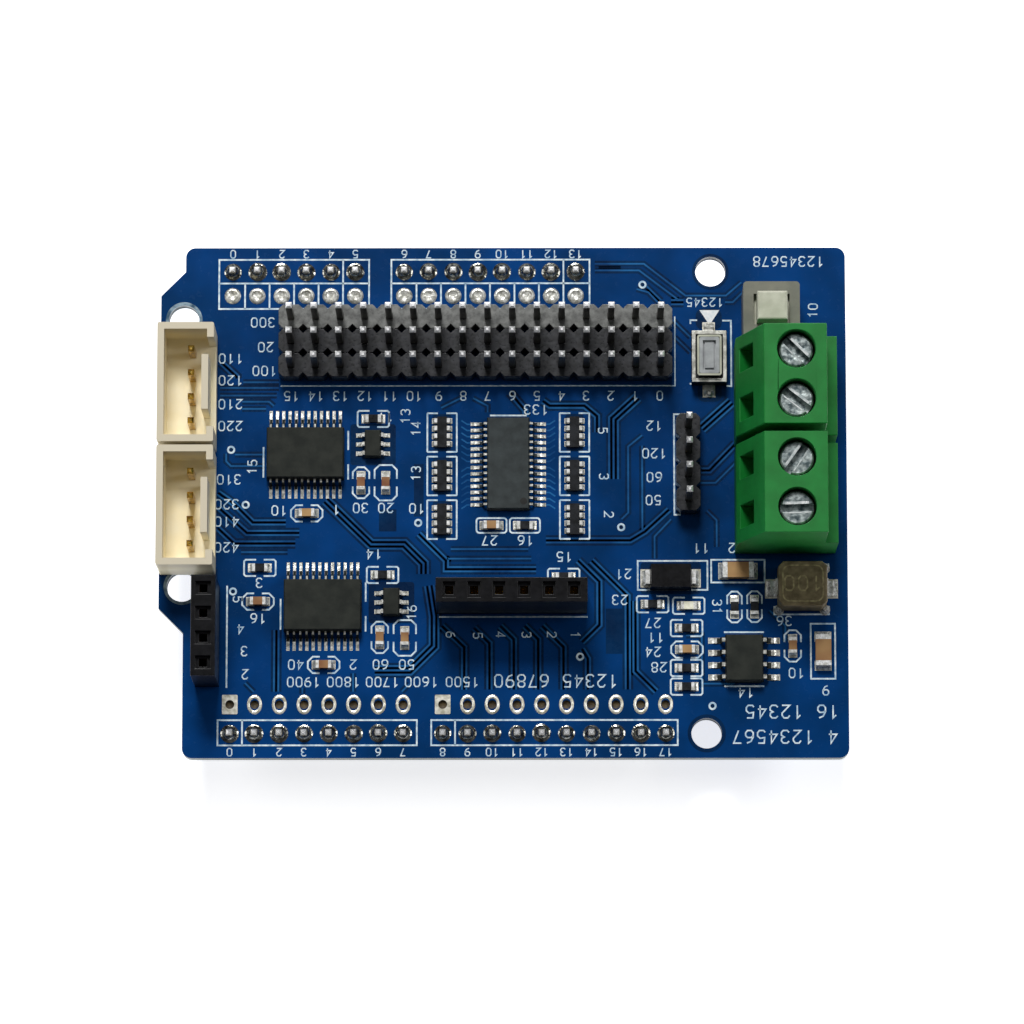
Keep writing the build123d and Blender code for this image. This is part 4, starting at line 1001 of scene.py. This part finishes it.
# two brackets that face each other across a gap; the long way runs along Y if upright
def inkBrackets(mesh, x, y, length, width, corner, gap, upright):
    for sign in (1, -1):
        path = [
            (sign * gap / 2, width / 2), (sign * (length / 2 - corner), width / 2),
            (sign * length / 2, width / 2 - corner), (sign * length / 2, corner - width / 2),
            (sign * (length / 2 - corner), -width / 2), (sign * gap / 2, -width / 2),
        ]
        if upright:
            path = [(b, a) for a, b in path]
        inkLine(mesh, [(x + a, y + b) for a, b in path])


ink = bmesh.new()
# boxes round the groups of the two header rows: the upper one has a line between every two pads
upperBoxes = {"groups": ((-29.46, -13.91), (-11.6, 8.96)), "low": 20.23, "middle": 22.92, "high": 25.42}
lowerBoxes = {"groups": ((-29.28, -8.85), (-7.37, 17.89)), "low": -25.35, "high": -22.75}
middleY = upperBoxes["middle"]
for left, right in upperBoxes["groups"]:
    inkBox(ink, left, right, upperBoxes["low"], upperBoxes["high"])
    inkLine(ink, [(left, middleY), (right, middleY)])
    cells = [x for x, y in upperSpare if left < x < right]
    for a, b in zip(cells, cells[1:]):
        inkLine(ink, [((a + b) / 2, upperBoxes["low"]), ((a + b) / 2, middleY)])
    lastX = (cells[-1] + cells[-2]) / 2
    inkLine(ink, [(lastX, middleY), (lastX, upperBoxes["high"])])
for left, right in lowerBoxes["groups"]:
    inkBox(ink, left, right, lowerBoxes["low"], lowerBoxes["high"])
    cells = [x for x, y in lowerSpare if left < x < right]
    firstX = (cells[0] + cells[1]) / 2
    inkLine(ink, [(firstX, lowerBoxes["low"]), (firstX, lowerBoxes["high"])])

inkLine(ink, [(-23.03, 12.1), (17.78, 12.1), (17.78, 19.4)], width=silkSettings["fineLine"])
plainLines = (
    [(18.3, 9.1), (17.65, 9.1), (17.65, -1.43), (18.3, -1.43)], [(-28.4, -8.8), (-28.4, -19.4)],
    [(-6.6, -12.06), (8.7, -12.06)], [(20.1, 19.0), (19.4, 19.0), (19.4, 18.6)],
    [(22.7, 18.95), (23.6, 18.95), (23.6, 12.05), (23.1, 12.05)], [(19.3, 12.3), (20.2, 12.3)],
)
for points in plainLines:
    inkLine(ink, points)

# outlines of the chip parts; brackets are given as length, width, cut of the corner and gap
# the large parts have boxes, given by half their sides, and the parts in one row have rounded outlines
partOutlines = {
    "cut": {"resistors": 0.16, "capacitors": 0.5, "indicator_led": 0.16}, "large": 1.5,
    "uprightHalves": (1.25, 2.85), "lyingHalves": (2.75, 1.18),
    "roundedRowY": -2.54, "roundedRowNear": 0.1, "rounded": (3.1, 1.54, 0.3),
    "pairX": (-12.12, -10.11), "pairNear": 0.2, "pairBrackets": (3.7, 2.3, 0.5, 0.8),
    "rightFrom": 23, "rightBrackets": (3.2, 1.5, 0.45, 0.55),
    "length": 3.25, "width": 1.7, "gap": 0.8, "arrayBrackets": (3.04, 4.05, 0.05, 0.87),
    "diodeBox": (13.85, 21.02, -9.27, -6.25),
}
for node, cut in partOutlines["cut"].items():
    for low, high in solidsOf(node):
        centre = (low + high) / 2
        wide, deep = high.x - low.x, high.y - low.y
        upright = deep > wide
        offPair = min(abs(centre.x - x) for x in partOutlines["pairX"])
        inPair = upright and node == "capacitors" and offPair < partOutlines["pairNear"]
        if max(wide, deep) > partOutlines["large"]:
            halfX, halfY = partOutlines["uprightHalves" if upright else "lyingHalves"]
            inkBox(ink, centre.x - halfX, centre.x + halfX, centre.y - halfY, centre.y + halfY)
        elif abs(centre.y - partOutlines["roundedRowY"]) < partOutlines["roundedRowNear"]:
            inkLine(ink, roundedOutline(centre.x, centre.y, *partOutlines["rounded"]), closed=True)
        elif inPair:
            inkBrackets(ink, centre.x, centre.y, *partOutlines["pairBrackets"], True)
        elif centre.x > partOutlines["rightFrom"] and node == "resistors":
            inkBrackets(ink, centre.x, centre.y, *partOutlines["rightBrackets"], True)
        else:
            inkBrackets(
                ink, centre.x, centre.y, partOutlines["length"], partOutlines["width"], cut, partOutlines["gap"],
                upright,
            )
for low, high in solidsOf("resistor_arrays"):
    centre = (low + high) / 2
    inkBrackets(ink, centre.x, centre.y, *partOutlines["arrayBrackets"], False)
inkBox(ink, *partOutlines["diodeBox"])

# lines beside the larger parts; a point is (side in X, offset, side in Y, offset), with side 0 low and 1 high
besideDriver = (
    ((0, -0.35, 1, -1.9), (0, -0.35, 0, 0.3)), ((1, 0.4, 1, -0.2), (1, 0.4, 1, -2.2)),
    ((1, 0.4, 0, 1.7), (1, 0.4, 0, 0.1)),
)
besideParts = {
    "motor_driver_1": besideDriver, "motor_driver_2": besideDriver,
    "pwm_chip": (((0, 0.3, 1, 0.3), (1, -0.3, 1, 0.3)),),
    "regulator": (((0, -0.1, 1, 0.35), (1, 0.1, 1, 0.35)), ((0, -0.1, 0, -0.35), (1, 0.1, 0, -0.35))),
    "inductor_core": (
        ((0, -0.3, 0, 0.5), (0, -0.3, 0, -0.35), (1, 0.3, 0, -0.35), (1, 0.3, 0, 0.5)),
        ((1, 0.3, 1, -0.5), (1, 0.3, 1, 0.35)),
    ),
}
for node, lines in besideParts.items():
    corners = boxOf(node)
    for line in lines:
        inkLine(ink, [(corners[i].x + alongX, corners[j].y + alongY) for i, alongX, j, alongY in line])
newPiece("printed_outlines", ink, "screenPrintedInk")

arrow = bmesh.new()
arrowCorners = [(20.35, 20.06), (22.4, 20.06), (21.38, 18.47)]
prism(arrow, arrowCorners, boardTop - seat, boardTop + silkSettings["arrowRise"])
newPiece("printed_arrow", arrow, "thickPrintedInk")

# the strokes of each figure, in a cell 0.6 wide and 1 high
strokes = {
    "0": [[(0.15, 0), (0, 0.2), (0, 0.8), (0.15, 1), (0.45, 1), (0.6, 0.8), (0.6, 0.2), (0.45, 0), (0.15, 0)]],
    "1": [[(0.1, 0.78), (0.34, 1), (0.34, 0)]],
    "2": [[(0, 0.8), (0.15, 1), (0.45, 1), (0.6, 0.8), (0.6, 0.62), (0, 0), (0.6, 0)]],
    "3": [[
        (0, 0.85), (0.15, 1), (0.45, 1), (0.6, 0.82), (0.58, 0.62), (0.38, 0.52), (0.6, 0.38), (0.6, 0.16),
        (0.45, 0), (0.15, 0), (0, 0.15),
    ]],
    "4": [[(0.45, 0), (0.45, 1), (0, 0.3), (0.62, 0.3)]],
    "5": [[
        (0.55, 1), (0.08, 1), (0.04, 0.56), (0.4, 0.62), (0.6, 0.42), (0.6, 0.18), (0.45, 0), (0.12, 0), (0, 0.14),
    ]],
    "6": [[
        (0.5, 1), (0.18, 0.86), (0, 0.5), (0, 0.18), (0.15, 0), (0.45, 0), (0.6, 0.18), (0.6, 0.4), (0.45, 0.56),
        (0.15, 0.56), (0.02, 0.42),
    ]],
    "7": [[(0, 1), (0.6, 1), (0.22, 0)]],
    "8": [
        [
            (0.16, 0.54), (0.03, 0.7), (0.03, 0.86), (0.16, 1), (0.44, 1), (0.57, 0.86), (0.57, 0.7), (0.44, 0.54),
            (0.16, 0.54),
        ],
        [(0.16, 0.54), (0, 0.36), (0, 0.16), (0.15, 0), (0.45, 0), (0.6, 0.16), (0.6, 0.36), (0.44, 0.54)],
    ],
    "9": [[
        (0.1, 0), (0.42, 0.14), (0.6, 0.5), (0.6, 0.82), (0.45, 1), (0.15, 1), (0, 0.82), (0, 0.6), (0.15, 0.44),
        (0.45, 0.44), (0.58, 0.58),
    ]],
}


# a plain number with its middle at (x, y), turned by quarters of a circle; a space stays empty
def number(mesh, text, x, y, height, quarters=2):
    advance = silkSettings["digitWidth"] + silkSettings["digitGap"]
    length = len(text) * advance - silkSettings["digitGap"]
    turnX, turnY = ((1, 0), (0, 1), (-1, 0), (0, -1))[quarters]
    for place, figure in enumerate(text):
        for stroke in strokes.get(figure, ()):
            line = []
            for u, v in stroke:
                a = (u + place * advance - length / 2) * height
                b = (v - 0.5) * height
                line.append((x + a * turnX - b * turnY, y + a * turnY + b * turnX))
            inkLine(mesh, line, width=silkSettings["digitStroke"] * height ** 0.5)


figures = bmesh.new()
servoX = [p.x for p in centresOf("servo_signal_pins")]
for channel, x in enumerate(reversed(servoX)):
    number(figures, str(channel), x, silkSettings["channelY"], silkSettings["channelHeight"])

# numbers along the header rows: the first number of the second group, y and height
rowNumbers = {"upper": (6, 26.02, 0.8), "lower": (8, -26.05, 0.78)}
for row, (secondFirst, y, height) in rowNumbers.items():
    firstGroup = [x for x, _ in shieldRows[row] if x < groupGap[row]]
    secondGroup = [x for x, _ in shieldRows[row] if x > groupGap[row]]
    for first, group in ((0, firstGroup), (secondFirst, secondGroup)):
        for step, x in enumerate(group):
            number(figures, str(first + step), x, y, height)

# numbers beside the parts, as (text, x, y)
labels = (
    ("110", -28.2, 15.0), ("120", -28.2, 12.7), ("210", -28.2, 10.2), ("220", -28.2, 7.9), ("310", -28.3, 2.3),
    ("320", -28.5, -0.3), ("410", -28.5, -2.1), ("420", -28.5, -4.8), ("300", -24.9, 18.8), ("20", -24.6, 16.2),
    ("100", -24.7, 13.7), ("12", 15.6, 7.9), ("120", 15.6, 5.0), ("60", 15.6, 2.5), ("50", 15.5, 0.1),
    ("10", -23.1, -0.95), ("1", -17.2, -0.85), ("30", -14.7, -0.7), ("20", -12.1, -0.7), ("10", -8.9, -0.75),
    ("3", -25.1, -8.5), ("16", -25.2, -12.2), ("4", -27.0, -13.3), ("3", -26.6, -15.6), ("2", -26.5, -18.0),
    ("40", -21.3, -17.0), ("2", -15.4, -17.0), ("60", -12.6, -17.0), ("50", -9.9, -17.0), ("14", -13.3, -5.5),
    ("27", -1.4, -4.1), ("16", 2.3, -4.1), ("15", 6.3, -5.8), ("21", 12.4, -7.6), ("23", 12.0, -10.3),
    ("27", 15.4, -12.7), ("11", 15.7, -14.2), ("24", 15.4, -15.7), ("28", 16.0, -17.3), ("11", 20.4, -4.9),
    ("12", 24.0, -4.9), ("14", 24.9, -19.9), ("9", 33.1, -19.7), ("10", 30.1, -17.9), ("36", 28.9, -12.5),
    ("133", 3.4, 9.6), ("17", -12.2, 8.8), ("1900", -20.5, -18.8), ("1800", -16.4, -18.8),
    ("1700", -12.4, -18.8), ("1600", -8.4, -18.8), ("1500", -4.2, -18.8),
)
for text, x, y in labels:
    number(figures, text, x, y, silkSettings["labelHeight"])
# the same, each turned by its quarters of a circle
sideLabels = (
    ("13", -10.1, 8.9, 1), ("14", -9.0, 7.6, 1), ("13", -9.0, 2.9, 1), ("5", 10.3, 7.4, 3), ("3", 10.4, 2.6, 3),
    ("2", 10.9, -1.4, 3), ("31", 22.0, -11.0, 3), ("15", -25.9, 3.6, 1), ("16", -9.4, -11.6, 1),
    ("5", -27.3, -10.2, 3), ("10", 32.1, 20.0, 1), ("6", -5.4, -13.9, 3), ("5", -2.6, -14.0, 3),
    ("4", -0.3, -13.9, 3), ("3", 2.4, -13.9, 3), ("2", 5.0, -13.9, 3), ("1", 7.4, -13.9, 3),
)
for text, x, y, quarters in sideLabels:
    number(figures, text, x, y, silkSettings["sideLabelHeight"], quarters)
# the larger ones, as (text, x, y, height)
titles = (
    ("12345678", 29.6, 25.2, 1.0), ("12345", 20.9, 20.9, 0.85), ("16 12345", 29.6, -21.9, 1.3),
    ("4 1234567", 28.9, -24.5, 1.3), ("12345 67890", 5.4, -18.7, 1.25),
)
for text, x, y, height in titles:
    number(figures, text, x, y, height)
newPiece("printed_numbers", figures, "screenPrintedInk")

# on the parts: the value moulded in the inductor and the dimple at pin 1 of the controller chip
valueSettings = {"text": "100", "height": 1.5, "sunk": 0.005}
value = bmesh.new()
coreLow, coreHigh = boxOf("inductor_core")
coreMiddle = (coreLow + coreHigh) / 2
number(value, valueSettings["text"], coreMiddle.x, coreMiddle.y, valueSettings["height"])
bmesh.ops.translate(value, verts=value.verts, vec=(0, 0, coreHigh.z - boardTop - valueSettings["sunk"]))
newPiece("inductor_value", value, "wornFerriteEdge")

dimpleSettings = {"inX": 0.62, "inY": 0.85, "profile": [(0.0, 0.006), (0.36, 0.006), (0.38, -0.02), (0.0, -0.02)]}
dimple = bmesh.new()
chipLow, chipHigh = boxOf("pwm_chip")
turned(
    dimple, chipHigh.x - dimpleSettings["inX"], chipLow.y + dimpleSettings["inY"], chipHigh.z,
    dimpleSettings["profile"],
)
newPiece("pin_one_dimple", dimple, "mouldedBlackAbs")
print("outlines and numbers")


# painted highlights beside the screw slots, a bright strip on each side; they turn with the screws
slotSettings = {
    "angles": (-45, -38, 55, 2), "offset": 0.5, "width": 0.26, "secondShare": 0.45, "reach": 0.36, "rise": 0.02,
}
for place, angle in enumerate(slotSettings["angles"], 1):
    low, high = boxOf(f"terminal_screw_{place}")
    x, y = (low.x + high.x) / 2, (low.y + high.y) / 2
    reach = slotSettings["reach"] * (high.x - low.x)
    along = Vector((math.cos(math.radians(angle)), math.sin(math.radians(angle))))
    glintStrips = bmesh.new()
    for side, share in ((1, 1.0), (-1, slotSettings["secondShare"])):
        off = Vector((-along.y, along.x)) * side * slotSettings["offset"]
        ends = [Vector((x, y)) + off + along * reach * way for way in (-1, 1)]
        width = slotSettings["width"] * share
        band(glintStrips, [tuple(end) for end in ends], width, high.z - seat, high.z + slotSettings["rise"])
    newPiece(f"slot_glints_{place}", glintStrips, "paintedSlotGlint", body=f"screw_{place}")


# a flat band round the top of a part, a little inside its edges
def rimOf(node, inset, radius, width, rise):
    low, high = boxOf(node)
    middle = (low + high) / 2
    rim = bmesh.new()
    outline = roundedOutline(middle.x, middle.y, high.x - low.x - inset * 2, high.y - low.y - inset * 2, radius)
    band(rim, outline, width, high.z - seat, high.z + rise, closed=True)
    return rim


# the reset button has a paler rim; it rides on the button
rimSettings = {
    "reset_switch_button": {"inset": 0.12, "radius": 0.15, "width": 0.2, "rise": 0.015},
    "inductor_core": {"inset": 0.45, "radius": 0.7, "width": 0.14, "rise": 0.012},
}
buttonRim = rimOf("reset_switch_button", **rimSettings["reset_switch_button"])
newPiece("reset_button_rim", buttonRim, "mouldedPaleAbs", body="reset_button")

# flux burnt dark round the reset switch's two tabs, and a bead of solder on the lower one
stainSettings = {"places": ((21.3, 19.1, 2.7, 2.2), (21.35, 11.4, 2.5, 2.0)), "radius": 0.7, "rise": 0.008}
stains = bmesh.new()
for x, y, width, depth in stainSettings["places"]:
    outline = roundedOutline(x, y, width, depth, stainSettings["radius"])
    prism(stains, outline, boardTop - seat, boardTop + stainSettings["rise"])
newPiece("flux_stains", stains, "maskOverLaminate")
beadSettings = {"x": 21.34, "y": 11.25, "z": boardTop + 0.1, "radius": 0.4, "height": 0.45, "topRadius": 0.18}
bead = bmesh.new()
solderCone(bead, **beadSettings)
newPiece("reset_solder_bead", bead, "meltedPaste")

# the coat of the inductor is worn along its rim, and solder stands at three corners
newPiece("inductor_rim", rimOf("inductor_core", **rimSettings["inductor_core"]), "wornFerriteEdge")
cornerSettings = {"radius": 0.55, "height": 0.9, "topRadius": 0.2}
cornerBeads = bmesh.new()
beadPlaces = (
    (coreLow.x + 0.15, coreLow.y + 0.1), (coreHigh.x - 0.1, coreLow.y + 0.1), (coreHigh.x - 0.1, coreHigh.y - 0.2),
)
for x, y in beadPlaces:
    solderCone(cornerBeads, x, y, boardTop, **cornerSettings)
newPiece("inductor_corner_solder", cornerBeads, "meltedPaste")

# the spring and the dome give way under their buttons; each is drawn as a copy of its part, fixed to the root, and
# the part is hidden
softParts = {
    "coil_spring": {"node": "power_switch_spring", "joint": "power_button_slide"},
    "click_dome": {"node": "reset_switch_dome", "joint": "reset_button_slide"},
}
for name, soft in softParts.items():
    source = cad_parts[soft["node"]]
    low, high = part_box(soft["node"])
    piece = bpy.data.objects.new(name, source.data.copy())
    bpy.context.scene.collection.objects.link(piece)
    piece.matrix_world = source.matrix_world.copy()
    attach(piece, "root")
    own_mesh(piece)
    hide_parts(soft["node"])
print("small details")
